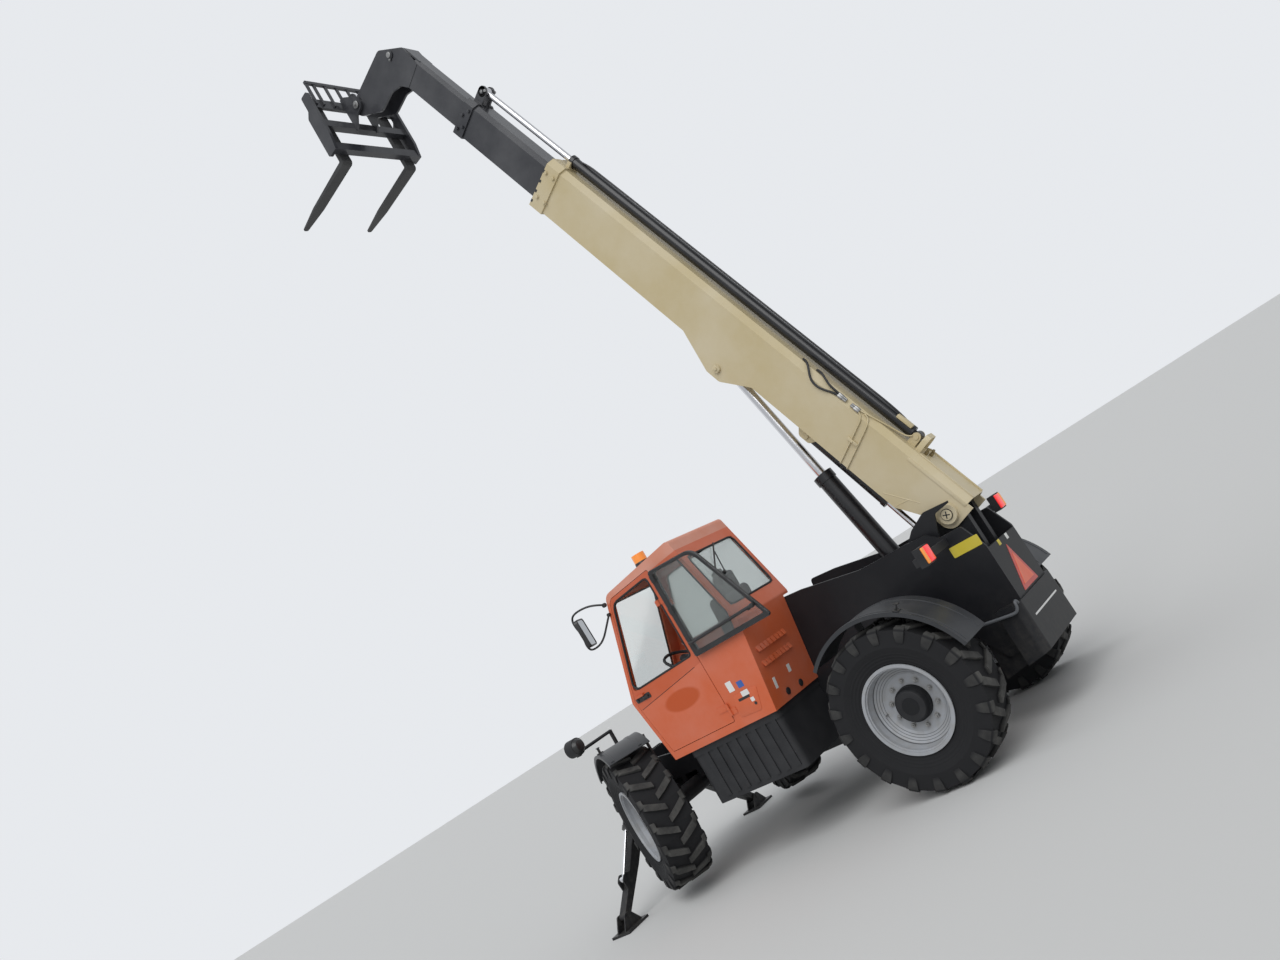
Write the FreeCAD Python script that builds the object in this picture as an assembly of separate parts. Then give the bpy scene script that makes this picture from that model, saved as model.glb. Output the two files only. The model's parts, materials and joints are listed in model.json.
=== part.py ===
import FreeCAD, Part
import math
import os

from FreeCAD import Vector

# A 14 metre class telescopic handler with the boom raised and part run out, standing on its rear
# tyres and its two front stabilisers. All sizes are millimetres. The machine is drawn level, x forward,
# y to its left, z up, with the ground at z = 0 and the rear axle over x = 0, and is then tipped nose up.

# Driving dimensions
WHEELBASE = 2800.0
TRACK = 1930.0
TYRE_R = 625.0
TYRE_W = 400.0
NOSE_LIFT = 105.0
FRONT_STEER = -34.5
KINGPIN_Y = 800.0
FRAME_HALF = 350.0
FRAME_WALL = 25.0
RUNNING_GAP = 0.3
CLEAR = 5.0

PITCH = math.degrees(math.asin(NOSE_LIFT / WHEELBASE))
AXLE_Z = TYRE_R
WHEEL_OFFSET = TRACK / 2 - KINGPIN_Y

# Boom: places along it are s from the pivot, across it are up from its centre line
BOOM_ANGLE = 71.0
PIVOT = Vector(-657, 0, 1639)
PIVOT_PIN_R = 38.0
PIVOT_BOSS_R = 76.0
BOOM_EAR_R = 112.0
BASE_LENGTH = 4770.0
BASE_HALF = 170.0
BASE_TOP = 200.0
BASE_LOW = -250.0
BASE_CHAMFER = 50.0
BASE_WALL = 12.0
COLLAR_LENGTH = 170.0
COLLAR_STEP = 15.0
EAR_WALL = 22.0
FLOOR_START = 330.0
MID_START = 1200.0
MID_END = 6000.0
MID_HALF = 138.0
MID_TOP = 145.0
MID_LOW = -195.0
MID_CHAMFER = 42.0
MID_WALL = 10.0
MID_COLLAR = 130.0
MID_COLLAR_STEP = 14.0
TIP_START = 2400.0
TIP_HALF = 105.0
TIP_TOP = 120.0
TIP_LOW = -165.0
TIP_CHAMFER = 34.0
TIP_WALL = 10.0
PAD_GAP = 0.5
PAD_LENGTH = 90.0
RAIL_THICK = 16.0
RAIL_WIDTH = 22.0
RAIL_Y = 45.0
RAIL_DROP = 12.0

# Boom head: the side plates bend down to the carriage pin
HEAD_PLATE = 20.0
CARRIAGE_PIN = Vector(7400, 0, -680)
TILT_PIN = Vector(7200, 0, -25)
TILT_CRANK = 190.0
TILT_CRANK_ANGLE = -2.6
CARRIAGE_PIN_R = 28.0
HEAD_BOSS_R = 82.0
CARRIAGE_LUG = 16.0

# Cylinders: pin places on the level machine or on the boom, radii and lengths
LIFT_FOOT = Vector(-90, 0, 1050)
LIFT_PIN = Vector(2257, 0, -320)
LIFT_BARREL_R = 80.0
LIFT_BARREL_LENGTH = 1400.0
LIFT_ROD_R = 42.0
LIFT_ROD_LENGTH = 1530.0
LEVEL_FOOT = Vector(-430, 0, 1280)
LEVEL_PIN = Vector(1296, 0, -309)
LEVEL_BARREL_R = 48.0
LEVEL_BARREL_LENGTH = 860.0
LEVEL_ROD_R = 25.0
LEVEL_ROD_LENGTH = 960.0
TELE_PIN = Vector(570, 0, 268)
TELE_BARREL_R = 50.0
TELE_BARREL_END = BASE_LENGTH - 110
TELE_ROD_R = 30.0
TELE_ROD_LENGTH = 4420.0
TELE_ROD_EYE = 5920.0
TILT_BARREL_R = 42.0
TILT_BARREL_LENGTH = 462.0
TILT_ROD_R = 24.0
TILT_ROD_LENGTH = 440.0

# Stabilisers, in the plane across the nose
LEG_AHEAD = 800.0
LEG_X = WHEELBASE + LEG_AHEAD
LEG_PIN = Vector(LEG_X, 430, 640)
FOOT = Vector(LEG_X, 1203, -25)
LEG_CYLINDER_PIN = Vector(LEG_X, 327, 922)
LEG_EYE_RADIUS = 700.0
LEG_EYE_LIFT = 5.0
LEG_PIN_R = 28.0
LEG_TOP_PIN_R = 22.0
LEG_EYE_R = 32.0
LEG_EYE_PIN_R = 17.0
LEG_WIDTH = 86.0
LEG_CHEEK = 14.0
LEG_BARREL_R = 38.0
LEG_BARREL_LENGTH = 490.0
LEG_ROD_R = 20.0
LEG_ROD_LENGTH = 505.0
NOSE_PLATE = 18.0

# Cab
CAB_LEFT = 1100.0
CAB_RIGHT = 260.0
CAB_WALL = 28.0
CAB_FLOOR = 1009.0
BELT = 1640.0
DOOR_HINGE_X = 1420.0
DOOR_GAP = 5.0

Z_AXIS = Vector(0, 0, 1)
Y_AXIS = Vector(0, 1, 0)
X_AXIS = Vector(1, 0, 0)


# Plain shapes

def box(x0, x1, y0, y1, z0, z1):
    return Part.makeBox(x1 - x0, y1 - y0, z1 - z0, Vector(x0, y0, z0))


def rod(start, end, radius):
    along = end - start
    return Part.makeCylinder(radius, along.Length, start, along)


def across(x, z, radius, y0, y1):
    return rod(Vector(x, y0, z), Vector(x, y1, z), radius)


def fuse(shapes):
    first, rest = shapes[0], shapes[1:]
    return first.multiFuse(rest).removeSplitter() if rest else first


def mirrored(shape):
    return shape.mirror(Vector(0, 0, 0), Y_AXIS)


def closed_wire(points):
    """Corners are (u, v) or (u, v, radius); a corner with a radius is rounded by an arc."""
    corners = [(Vector(p[0], p[1], 0), p[2] if len(p) > 2 else 0.0) for p in points]
    starts, ends, arcs = [], [], []
    for i, (corner, radius) in enumerate(corners):
        back = (corners[i - 1][0] - corner).normalize()
        ahead = (corners[(i + 1) % len(corners)][0] - corner).normalize()
        if not radius:
            starts.append(corner)
            ends.append(corner)
            arcs.append(None)
            continue
        half = back.getAngle(ahead) / 2
        reach = radius / math.tan(half)
        middle = (back + ahead).normalize()
        centre = corner + middle * (radius / math.sin(half))
        starts.append(corner + back * reach)
        ends.append(corner + ahead * reach)
        arcs.append(centre - middle * radius)
    edges = []
    for i in range(len(corners)):
        if arcs[i] is not None:
            edges.append(Part.Arc(starts[i], arcs[i], ends[i]).toShape())
        following = starts[(i + 1) % len(corners)]
        if (following - ends[i]).Length > 1e-6:
            edges.append(Part.LineSegment(ends[i], following).toShape())
    return Part.Wire(edges)


def side_plate(points, y0, y1):
    """An outline in (x, z), from y0 to y1."""
    face = Part.Face(closed_wire(points))
    face.rotate(Vector(0, 0, 0), X_AXIS, 90)
    face.translate(Vector(0, y0, 0))
    return face.extrude(Vector(0, y1 - y0, 0))


def cross_plate(points, x0, x1):
    """An outline in (y, z), from x0 to x1."""
    face = Part.Face(closed_wire(points))
    face.rotate(Vector(0, 0, 0), Z_AXIS, 90)
    face.rotate(Vector(0, 0, 0), Y_AXIS, 90)
    face.translate(Vector(x0, 0, 0))
    return face.extrude(Vector(x1 - x0, 0, 0))


def flat_plate(points, z0, z1):
    """An outline in (x, y), from z0 to z1."""
    face = Part.Face(closed_wire(points))
    face.translate(Vector(0, 0, z0))
    return face.extrude(Vector(0, 0, z1 - z0))


def turned(points, centre):
    """A profile of (radius, along y) turned about the y axis line through centre."""
    face = Part.Face(Part.makePolygon([Vector(r, a, 0) for r, a in points + points[:1]]))
    face.translate(centre)
    return face.revolve(centre, Y_AXIS, 360)


def facetted(points, sides):
    """A profile of (radius, along y) carried round the y axis in flat facets; the radii are the corners'."""
    turns = [2 * math.pi * k / sides for k in range(sides)]
    rings = [[Vector(r * math.cos(a), y, r * math.sin(a)) for a in turns] for r, y in points]
    faces = []
    for near, far in zip(rings, rings[1:] + rings[:1]):
        for k in range(sides):
            j = (k + 1) % sides
            faces.append(Part.Face(Part.makePolygon([near[k], near[j], far[j], far[k], near[k]])))
    solid = Part.Solid(Part.Shell(faces))
    if solid.Volume < 0:
        solid.reverse()
    return solid


def on_boom(shape):
    """From boom places (s, y, up) to the level machine."""
    moved = shape.copy()
    moved.rotate(Vector(0, 0, 0), Y_AXIS, -BOOM_ANGLE)
    moved.translate(PIVOT)
    return moved


def boom_point(p):
    turn = FreeCAD.Rotation(Y_AXIS, -BOOM_ANGLE)
    return turn.multVec(p) + PIVOT


# Cylinders

GLAND = 1.12
EYE_CLEAR = 6.0


def barrel(foot, eye, radius, length, bore, eye_r, eye_width, pin_r):
    """A hollow barrel from its foot eye towards the rod's eye, with a gland ring at its mouth."""
    along = (eye - foot).normalize()
    mouth = foot + along * length
    neck = rod(foot + along * (eye_r * 0.8), foot + along * (eye_r + EYE_CLEAR + 1), min(radius, eye_width / 2) * 0.8)
    body = rod(foot + along * (eye_r + EYE_CLEAR), mouth, radius)
    gland = rod(mouth - along * (radius * 0.9), mouth, radius * GLAND)
    inside = rod(foot + along * (eye_r + EYE_CLEAR + radius * 0.4), mouth + along, bore + RUNNING_GAP)
    return foot_eye(fuse([neck, body, gland]).cut(inside), foot, eye_r, eye_width, pin_r)


def foot_eye(body, centre, eye_r, eye_width, pin_r, axis=Y_AXIS):
    half = axis * (eye_width / 2)
    ring = rod(centre - half, centre + half, eye_r)
    hole = rod(centre - half * 1.5, centre + half * 1.5, pin_r + RUNNING_GAP)
    return body.fuse(ring).removeSplitter().cut(hole)


def piston_rod(foot, eye, radius, length, eye_r, eye_width, pin_r):
    """The rod from inside the barrel to its eye."""
    along = (eye - foot).normalize()
    return foot_eye(rod(eye - along * length, eye, radius), eye, eye_r, eye_width, pin_r)


# Boom sections

def section(half, top, low, chamfer, grow=0.0):
    h, t, b, c = half + grow, top + grow, low - grow, chamfer + grow * 0.4
    return [(-h, b), (h, b), (h, t - c), (h - c, t), (-h + c, t), (-h, t - c)]


def hollow(half, top, low, chamfer, wall, s0, s1):
    outer = cross_plate(section(half, top, low, chamfer), s0, s1)
    return outer.cut(cross_plate(section(half, top, low, chamfer, -wall), s0 - 1, s1 + 1))


def pads(inner, outer, s0, s1, outside_is_ours):
    """Wear pads between two sections: on each side, on top and below, clear of the moving one."""
    (ih, it, ib), (oh, ot, ob) = inner, outer
    gap_in, gap_out = (PAD_GAP, 0.0) if outside_is_ours else (0.0, PAD_GAP)
    shapes = []
    for side in (1, -1):
        ends = sorted((side * (ih + gap_in), side * (oh - gap_out)))
        shapes.append(box(s0, s1, ends[0], ends[1], ib + 40, ib + 150))
        inner_y, outer_y = side * (RAIL_Y + RAIL_WIDTH), side * (ih - 14)
        low_ends = sorted((inner_y, outer_y))
        shapes.append(box(s0, s1, low_ends[0], low_ends[1], ob + gap_out, ib - gap_in))
        top_ends = sorted((side * 20, side * (ih - 52)))
        shapes.append(box(s0, s1, top_ends[0], top_ends[1], it + gap_in, ot - gap_out))
    return shapes


def boom_base():
    body = hollow(BASE_HALF, BASE_TOP, BASE_LOW, BASE_CHAMFER, BASE_WALL, -60, BASE_LENGTH)
    side = [
        (-BOOM_EAR_R, -BOOM_EAR_R, 95), (60, -BOOM_EAR_R, 60), (FLOOR_START + 20, BASE_LOW, 30),
        (1900, BASE_LOW), (2180, -400, 60), (2330, -400, 60), (2720, BASE_LOW),
        (BASE_LENGTH, BASE_LOW), (BASE_LENGTH, BASE_TOP - BASE_CHAMFER), (-BOOM_EAR_R, BASE_TOP - BASE_CHAMFER),
    ]
    keep = side_plate(side[:-2] + [(BASE_LENGTH, BASE_TOP + 1), (-60, BASE_TOP + 1), (-BOOM_EAR_R, BASE_TOP - BASE_CHAMFER)],
                      -BASE_HALF - 1, BASE_HALF + 1)
    body = body.common(keep)
    cheeks = side_plate(side, BASE_HALF - EAR_WALL, BASE_HALF)
    ear = cheeks.common(box(-200, 420, 0, 200, -400, 400))
    lug = cheeks.common(box(1880, 2740, 0, 200, -500, BASE_LOW + 40))
    lug_inner = side_plate(
        [(2100, BASE_LOW), (2200, -385, 50), (2315, -385, 50), (2420, BASE_LOW)], 105, BASE_HALF - EAR_WALL)
    boss = across(0, 0, PIVOT_BOSS_R, BASE_HALF, BASE_HALF + 45)
    level_lug = side_plate(
        [(1170, BASE_LOW + 1), (1240, -345, 40), (1352, -345, 40), (1420, BASE_LOW + 1)], 52, 76)
    pin_stub = across(LIFT_PIN.x, LIFT_PIN.z, 36, 100, BASE_HALF + 18)
    side_parts = fuse([ear, boss]), fuse([lug, lug_inner, pin_stub]), level_lug
    level_pin = across(LEVEL_PIN.x, LEVEL_PIN.z, 24, -88, 88)
    pivot_hole = across(0, 0, PIVOT_PIN_R + RUNNING_GAP, -400, 400)
    collar = cross_plate(section(BASE_HALF, BASE_TOP, BASE_LOW, BASE_CHAMFER, COLLAR_STEP),
                         BASE_LENGTH - COLLAR_LENGTH, BASE_LENGTH)
    collar = collar.cut(cross_plate(section(BASE_HALF, BASE_TOP, BASE_LOW, BASE_CHAMFER), 0, BASE_LENGTH + 1))
    mid_faces = (MID_HALF, MID_TOP, MID_LOW)
    base_faces = (BASE_HALF - BASE_WALL, BASE_TOP - BASE_WALL, BASE_LOW + BASE_WALL)
    mouth = pads(mid_faces, base_faces, BASE_LENGTH - PAD_LENGTH, BASE_LENGTH, True)
    tele_ears = [
        box(TELE_PIN.x - 36, TELE_PIN.x + 36, y, y + 18, BASE_TOP - 6, TELE_PIN.z).fuse(across(TELE_PIN.x, TELE_PIN.z, 36, y, y + 18))
        for y in (-52, 34)]
    tele_pin = across(TELE_PIN.x, TELE_PIN.z, 20, -60, 60)
    saddle = box(TELE_BARREL_END - 50, TELE_BARREL_END - 10, -72, 72, BASE_TOP + COLLAR_STEP - 1, TELE_PIN.z)
    cradle = rod(Vector(TELE_BARREL_END - 160, 0, TELE_PIN.z), Vector(TELE_BARREL_END + 140, 0, TELE_PIN.z), TELE_BARREL_R * GLAND + RUNNING_GAP)
    parts = [body, collar, saddle, tele_pin, level_pin] + mouth + tele_ears
    for part in side_parts:
        parts += [part, mirrored(part)]
    return on_boom(fuse(parts).cut(pivot_hole).cut(cradle))


def boom_mid():
    body = hollow(MID_HALF, MID_TOP, MID_LOW, MID_CHAMFER, MID_WALL, MID_START, MID_END)
    collar_start = MID_END - MID_COLLAR
    collar = cross_plate(section(MID_HALF, MID_TOP, MID_LOW, MID_CHAMFER, MID_COLLAR_STEP), collar_start, MID_END)
    collar = collar.cut(cross_plate(section(MID_HALF, MID_TOP, MID_LOW, MID_CHAMFER), 0, MID_END + 1))
    tip_faces = (TIP_HALF, TIP_TOP, TIP_LOW)
    mid_inside = (MID_HALF - MID_WALL, MID_TOP - MID_WALL, MID_LOW + MID_WALL)
    mouth = pads(tip_faces, mid_inside, MID_END - PAD_LENGTH, MID_END, True)
    base_inside = (BASE_HALF - BASE_WALL, BASE_TOP - BASE_WALL, BASE_LOW + BASE_WALL)
    rear = pads((MID_HALF, MID_TOP, MID_LOW), base_inside, MID_START, MID_START + PAD_LENGTH, False)
    rail_top = MID_LOW - RAIL_DROP
    rails = []
    for side in (-1, 1):
        y0 = side * RAIL_Y - RAIL_WIDTH / 2
        rails.append(box(MID_START, MID_END - 20, y0, y0 + RAIL_WIDTH, rail_top - RAIL_THICK, rail_top))
        rails.append(box(MID_START, MID_START + 60, y0, y0 + RAIL_WIDTH, rail_top, MID_LOW))
        rails.append(box(collar_start - 10, MID_END - 20, y0, y0 + RAIL_WIDTH, rail_top, MID_LOW))
    eye_ears = [box(TELE_ROD_EYE - 55, TELE_ROD_EYE + 55, y, y + 20, MID_TOP - 4, TELE_PIN.z - 40).fuse(
        across(TELE_ROD_EYE, TELE_PIN.z, 55, y, y + 20)) .fuse(
        box(TELE_ROD_EYE - 55, TELE_ROD_EYE + 55, y, y + 20, TELE_PIN.z - 60, TELE_PIN.z)) for y in (-62, 42)]
    eye_pin = across(TELE_ROD_EYE, TELE_PIN.z, 22, -75, 75)
    return on_boom(fuse([body, collar, eye_pin] + mouth + rear + rails + eye_ears))


def boom_tip():
    body = hollow(TIP_HALF, TIP_TOP, TIP_LOW, TIP_CHAMFER, TIP_WALL, TIP_START, 6860)
    inside = (MID_HALF - MID_WALL, MID_TOP - MID_WALL, MID_LOW + MID_WALL)
    rear = pads((TIP_HALF, TIP_TOP, TIP_LOW), inside, TIP_START, TIP_START + PAD_LENGTH, False)
    px, pz = CARRIAGE_PIN.x, CARRIAGE_PIN.z
    outline = [
        (6800, TIP_TOP - TIP_CHAMFER), (7070, 125, 40), (7385, -70, 70), (px + HEAD_BOSS_R, pz + 20, 60),
        (px + HEAD_BOSS_R, pz - HEAD_BOSS_R, HEAD_BOSS_R - 2), (px - HEAD_BOSS_R, pz - HEAD_BOSS_R, HEAD_BOSS_R - 2),
        (7050, -560, 90), (7010, -330, 90), (6920, -210, 60), (6800, TIP_LOW),
    ]
    plate = side_plate(outline, TIP_HALF - HEAD_PLATE, TIP_HALF + 4)
    cover_outline = [
        (6800, TIP_TOP - 14), (6800, TIP_TOP), (7070, 125, 40), (7385, -70, 70), (7413, -240), (7397, -240),
        (7369, -62, 56), (7062, 110, 30),
    ]
    cover = side_plate(cover_outline, -TIP_HALF + HEAD_PLATE, TIP_HALF - HEAD_PLATE)
    boss = across(px, pz, HEAD_BOSS_R * 0.75, TIP_HALF + 4, TIP_HALF + CARRIAGE_LUG - 0.5)
    tilt_boss = across(TILT_PIN.x, TILT_PIN.z, 46, TIP_HALF - 50, TIP_HALF + 16)
    tilt_pin = across(TILT_PIN.x, TILT_PIN.z, 24, -TIP_HALF, TIP_HALF)
    carriage_hole = across(px, pz, CARRIAGE_PIN_R + RUNNING_GAP, -200, 200)
    parts = [body, cover, tilt_pin] + rear
    for part in (plate, boss, tilt_boss):
        parts += [part, mirrored(part)]
    return on_boom(fuse(parts).cut(carriage_hole))


def telescope_barrel():
    foot, mouth = TELE_PIN, Vector(TELE_BARREL_END, 0, TELE_PIN.z)
    return on_boom(barrel(foot, mouth, TELE_BARREL_R, TELE_BARREL_END - foot.x, TELE_ROD_R, 40, 67, 20))


def telescope_rod():
    eye = Vector(TELE_ROD_EYE, 0, TELE_PIN.z)
    return on_boom(piston_rod(TELE_PIN, eye, TELE_ROD_R, TELE_ROD_LENGTH, 44, 76, 22))


def lift_barrel():
    return barrel(LIFT_FOOT, boom_point(LIFT_PIN), LIFT_BARREL_R, LIFT_BARREL_LENGTH, LIFT_ROD_R, 88, 160, 38)


def lift_rod():
    return piston_rod(LIFT_FOOT, boom_point(LIFT_PIN), LIFT_ROD_R, LIFT_ROD_LENGTH, 62, 199, 37)


def level_barrel():
    return barrel(boom_point(LEVEL_PIN), LEVEL_FOOT, LEVEL_BARREL_R, LEVEL_BARREL_LENGTH, LEVEL_ROD_R, 48, 90, 24)


def level_rod():
    return piston_rod(boom_point(LEVEL_PIN), LEVEL_FOOT, LEVEL_ROD_R, LEVEL_ROD_LENGTH, 44, 81, 22)


def crank_point(pin, radius, angle):
    a = math.radians(angle)
    return pin + Vector(radius * math.cos(a), 0, radius * math.sin(a))


TILT_EYE = crank_point(CARRIAGE_PIN, TILT_CRANK, TILT_CRANK_ANGLE)


def tilt_barrel():
    return on_boom(barrel(TILT_PIN, TILT_EYE, TILT_BARREL_R, TILT_BARREL_LENGTH, TILT_ROD_R, 40, 109, 24))


def tilt_rod():
    return on_boom(piston_rod(TILT_PIN, TILT_EYE, TILT_ROD_R, TILT_ROD_LENGTH, 38, 71, 20))


# Carriage and forks, upright on the level machine
FRAME_FRONT_X = 2640.0
FRAME_REAR_X = 2562.0
TOP_RAIL_X = 2604.0
CARRIAGE_HALF = 585.0
CARRIAGE_LOW = 7930.0
CARRIAGE_TOP = 8650.0
BACKREST_TOP = 8860.0
FORK_Y = 439.0
FORK_WIDTH = 125.0
FORK_THICK = 46.0
FORK_TIP_X = 3690.0
FORK_HEEL_Z = 7868.0
BACKREST_BARS = (-455, -365, -220, -73, 73, 220, 365, 455)


def carriage():
    hub = boom_point(CARRIAGE_PIN)
    eye = boom_point(TILT_EYE)
    cheek = side_plate([
        (FRAME_REAR_X, CARRIAGE_LOW), (FRAME_FRONT_X + 55, CARRIAGE_LOW, 20), (FRAME_FRONT_X + 55, 8420, 30),
        (FRAME_FRONT_X, 8480, 30), (FRAME_FRONT_X, CARRIAGE_TOP, 20), (FRAME_REAR_X - 30, CARRIAGE_TOP, 20),
        (FRAME_REAR_X - 30, 8100, 40),
    ], CARRIAGE_HALF - 36, CARRIAGE_HALF)
    rails = [box(x, FRAME_FRONT_X, -CARRIAGE_HALF + 30, CARRIAGE_HALF - 30, z, z + h)
             for x, z, h in ((FRAME_REAR_X, CARRIAGE_LOW, 90), (FRAME_REAR_X, 8240, 80), (TOP_RAIL_X, CARRIAGE_TOP - 120, 110))]
    lug = side_plate([
        (hub.x - 62, hub.z - 62, 60), (hub.x + 62, hub.z - 80, 20), (FRAME_REAR_X + 10, 8200, 10),
        (FRAME_REAR_X + 10, CARRIAGE_TOP - 20, 10), (FRAME_REAR_X - 40, CARRIAGE_TOP - 20, 20), (hub.x - 62, hub.z + 62, 60),
    ], TIP_HALF + CARRIAGE_LUG, TIP_HALF + CARRIAGE_LUG + 22)
    eye_lug = side_plate([
        (eye.x - 40, eye.z - 40, 38), (TOP_RAIL_X + 5, eye.z - 60), (TOP_RAIL_X + 5, eye.z + 48), (eye.x - 40, eye.z + 40, 38),
    ], 38, 58)
    pin = across(hub.x, hub.z, CARRIAGE_PIN_R, -TIP_HALF - 44, TIP_HALF + 44)
    stubs = across(eye.x, eye.z, 19, 36, 62)
    bars = [box(TOP_RAIL_X - 24, TOP_RAIL_X + 1, y - 12, y + 12, 8560, BACKREST_TOP - 10) for y in BACKREST_BARS]
    top = box(TOP_RAIL_X - 28, TOP_RAIL_X + 4, BACKREST_BARS[0] - 14, BACKREST_BARS[-1] + 14, BACKREST_TOP - 34, BACKREST_TOP)
    parts = rails + [pin, top] + bars
    for part in (cheek, lug, eye_lug, stubs):
        parts += [part, mirrored(part)]
    return fuse(parts)


FORK_DROP = 75.0
FORK_TIP_THICK = 14.0
FORK_SHANK_TOP = 8600.0
FORK_TAPER_X = 3350.0


def fork(side):
    """An L of forged flat bar: the shank stands on the carriage's front, the blade thins to its tip."""
    y, half = side * FORK_Y, FORK_WIDTH / 2
    back, front = FRAME_FRONT_X, FRAME_FRONT_X + FORK_THICK
    tip_z = FORK_HEEL_Z - FORK_DROP
    outline = [
        (back, FORK_SHANK_TOP), (back, FORK_HEEL_Z - FORK_THICK, 40), (FORK_TIP_X, tip_z - FORK_TIP_THICK),
        (FORK_TIP_X, tip_z), (front, FORK_HEEL_Z, 12), (front, FORK_SHANK_TOP),
    ]
    blade = side_plate(outline, y - half, y + half)
    plan = flat_plate([
        (back - 1, y - half), (FORK_TAPER_X, y - half), (FORK_TIP_X, y - half * 0.45, 20), (FORK_TIP_X, y + half * 0.45, 20),
        (FORK_TAPER_X, y + half), (back - 1, y + half)], FORK_HEEL_Z - 400, FORK_SHANK_TOP + 1)
    return blade.common(plan)


# Wheels, one corner drawn with its kingpin at the origin and its wheel to +y

def wheel_centre():
    return Vector(0, WHEEL_OFFSET, 0)


RIM_SEAT_R = 303.0
RIM_HALF = 165.0
FLANGE_R = 338.0
FLANGE_THICK = 12.0
HUB_R = 132.0
SPINDLE_R = 48.0


def rim():
    """A dished wheel: the well that carries the tyre, the stepped disc and the hub, on the spindle's bore."""
    seat, half, lip = RIM_SEAT_R, RIM_HALF, FLANGE_R
    disc = turned([
        (seat, 5 - half), (seat, half - 5), (lip, half), (lip, half + FLANGE_THICK), (seat + 12, half + FLANGE_THICK),
        (seat - 14, 70), (seat - 40, 52), (seat - 84, 26), (HUB_R - 6, 22), (HUB_R - 6, 8), (seat - 30, 36),
        (seat - 14, 20), (seat + 12, -half - FLANGE_THICK), (lip, -half - FLANGE_THICK), (lip, -half)], wheel_centre())
    hub = turned([
        (0, -60), (HUB_R - 20, -60), (HUB_R, 4), (HUB_R, 70), (HUB_R - 14, 92), (70, 98), (64, 112), (0, 112)], wheel_centre())
    bore = rod(Vector(0, WHEEL_OFFSET - 80, 0), Vector(0, WHEEL_OFFSET + 70, 0), SPINDLE_R + RUNNING_GAP)
    return fuse([disc, hub]).cut(bore)


TYRE_FACETS = 36
BEAD_R = RIM_SEAT_R + 1.5
SHOULDER_R = 592.0
BULGE_R = 470.0
LUGS_PER_SIDE = 18
TREAD_TURN = 4.5          # the tyres stand on two bars, not on the tip of one
LUG_TOP = 620.0
LUG_ROOT = 570.0
LUG_INNER_Y = -14.0
LUG_OUTLINE = [(-78, LUG_INNER_Y), (-26, LUG_INNER_Y), (78, 188), (16, 188), (-44, 70)]


def lug():
    """One tread bar at the top of the wheel: from past the middle line it sweeps back to the shoulder, which is bevelled."""
    half = TYRE_W / 2
    plan = flat_plate(LUG_OUTLINE, LUG_ROOT, LUG_TOP)
    bevel = cross_plate([
        (LUG_INNER_Y - 1, LUG_ROOT - 1), (LUG_INNER_Y - 1, LUG_TOP + 1), (half - 50, LUG_TOP + 1), (half - 5, SHOULDER_R - 10),
        (half - 5, LUG_ROOT - 1)], -half, half)
    return plan.common(bevel)


def tyre():
    """The carcass in flat facets with its two staggered rows of tread bars."""
    half, wall = TYRE_W / 2, RIM_HALF - 15
    body = facetted([
        (BEAD_R, -wall), (BEAD_R, wall), (BULGE_R, half), (SHOULDER_R, half - 10), (SHOULDER_R, 10 - half), (BULGE_R, -half)],
        TYRE_FACETS)
    pitch = 360 / LUGS_PER_SIDE
    bars = []
    for bar, first in ((lug(), 0.0), (mirrored(lug()), pitch / 2)):
        for k in range(LUGS_PER_SIDE):
            turned_bar = bar.copy()
            turned_bar.rotate(Vector(0, 0, 0), Y_AXIS, first + k * pitch)
            bars.append(turned_bar)
    whole = body.multiFuse(bars)
    whole.rotate(Vector(0, 0, 0), Y_AXIS, TREAD_TURN)
    whole.translate(wheel_centre())
    return whole


ARM_X = 200.0
ARM_FACE = -44.0
ARM_THICK = 18.0
ARM_WIDTH = 56.0


def knuckle():
    barrel_part = rod(Vector(0, 0, -90), Vector(0, 0, 90), 62)
    spindle = rod(Vector(0, 30, 0), Vector(0, WHEEL_OFFSET + 60, 0), SPINDLE_R)
    flange = rod(Vector(0, 50, 0), Vector(0, WHEEL_OFFSET - 66, 0), 92)
    lugs = box(-ARM_X - 15, ARM_X + 15, -30, -10, -30, 40)
    seats = [box(x - 15, x + 15, ARM_FACE, -29, -30, 40) for x in (-ARM_X, ARM_X)]
    body = fuse([barrel_part, spindle, flange, lugs] + seats)
    for z0, z1 in ((-91, -58), (58, 91)):
        body = body.cut(rod(Vector(0, 0, z0), Vector(0, 0, z1), 25 + RUNNING_GAP))
    return body


FENDER_R = 716.0
FENDER_WALL = 8.0
FENDER_LIP = 22.0


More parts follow.
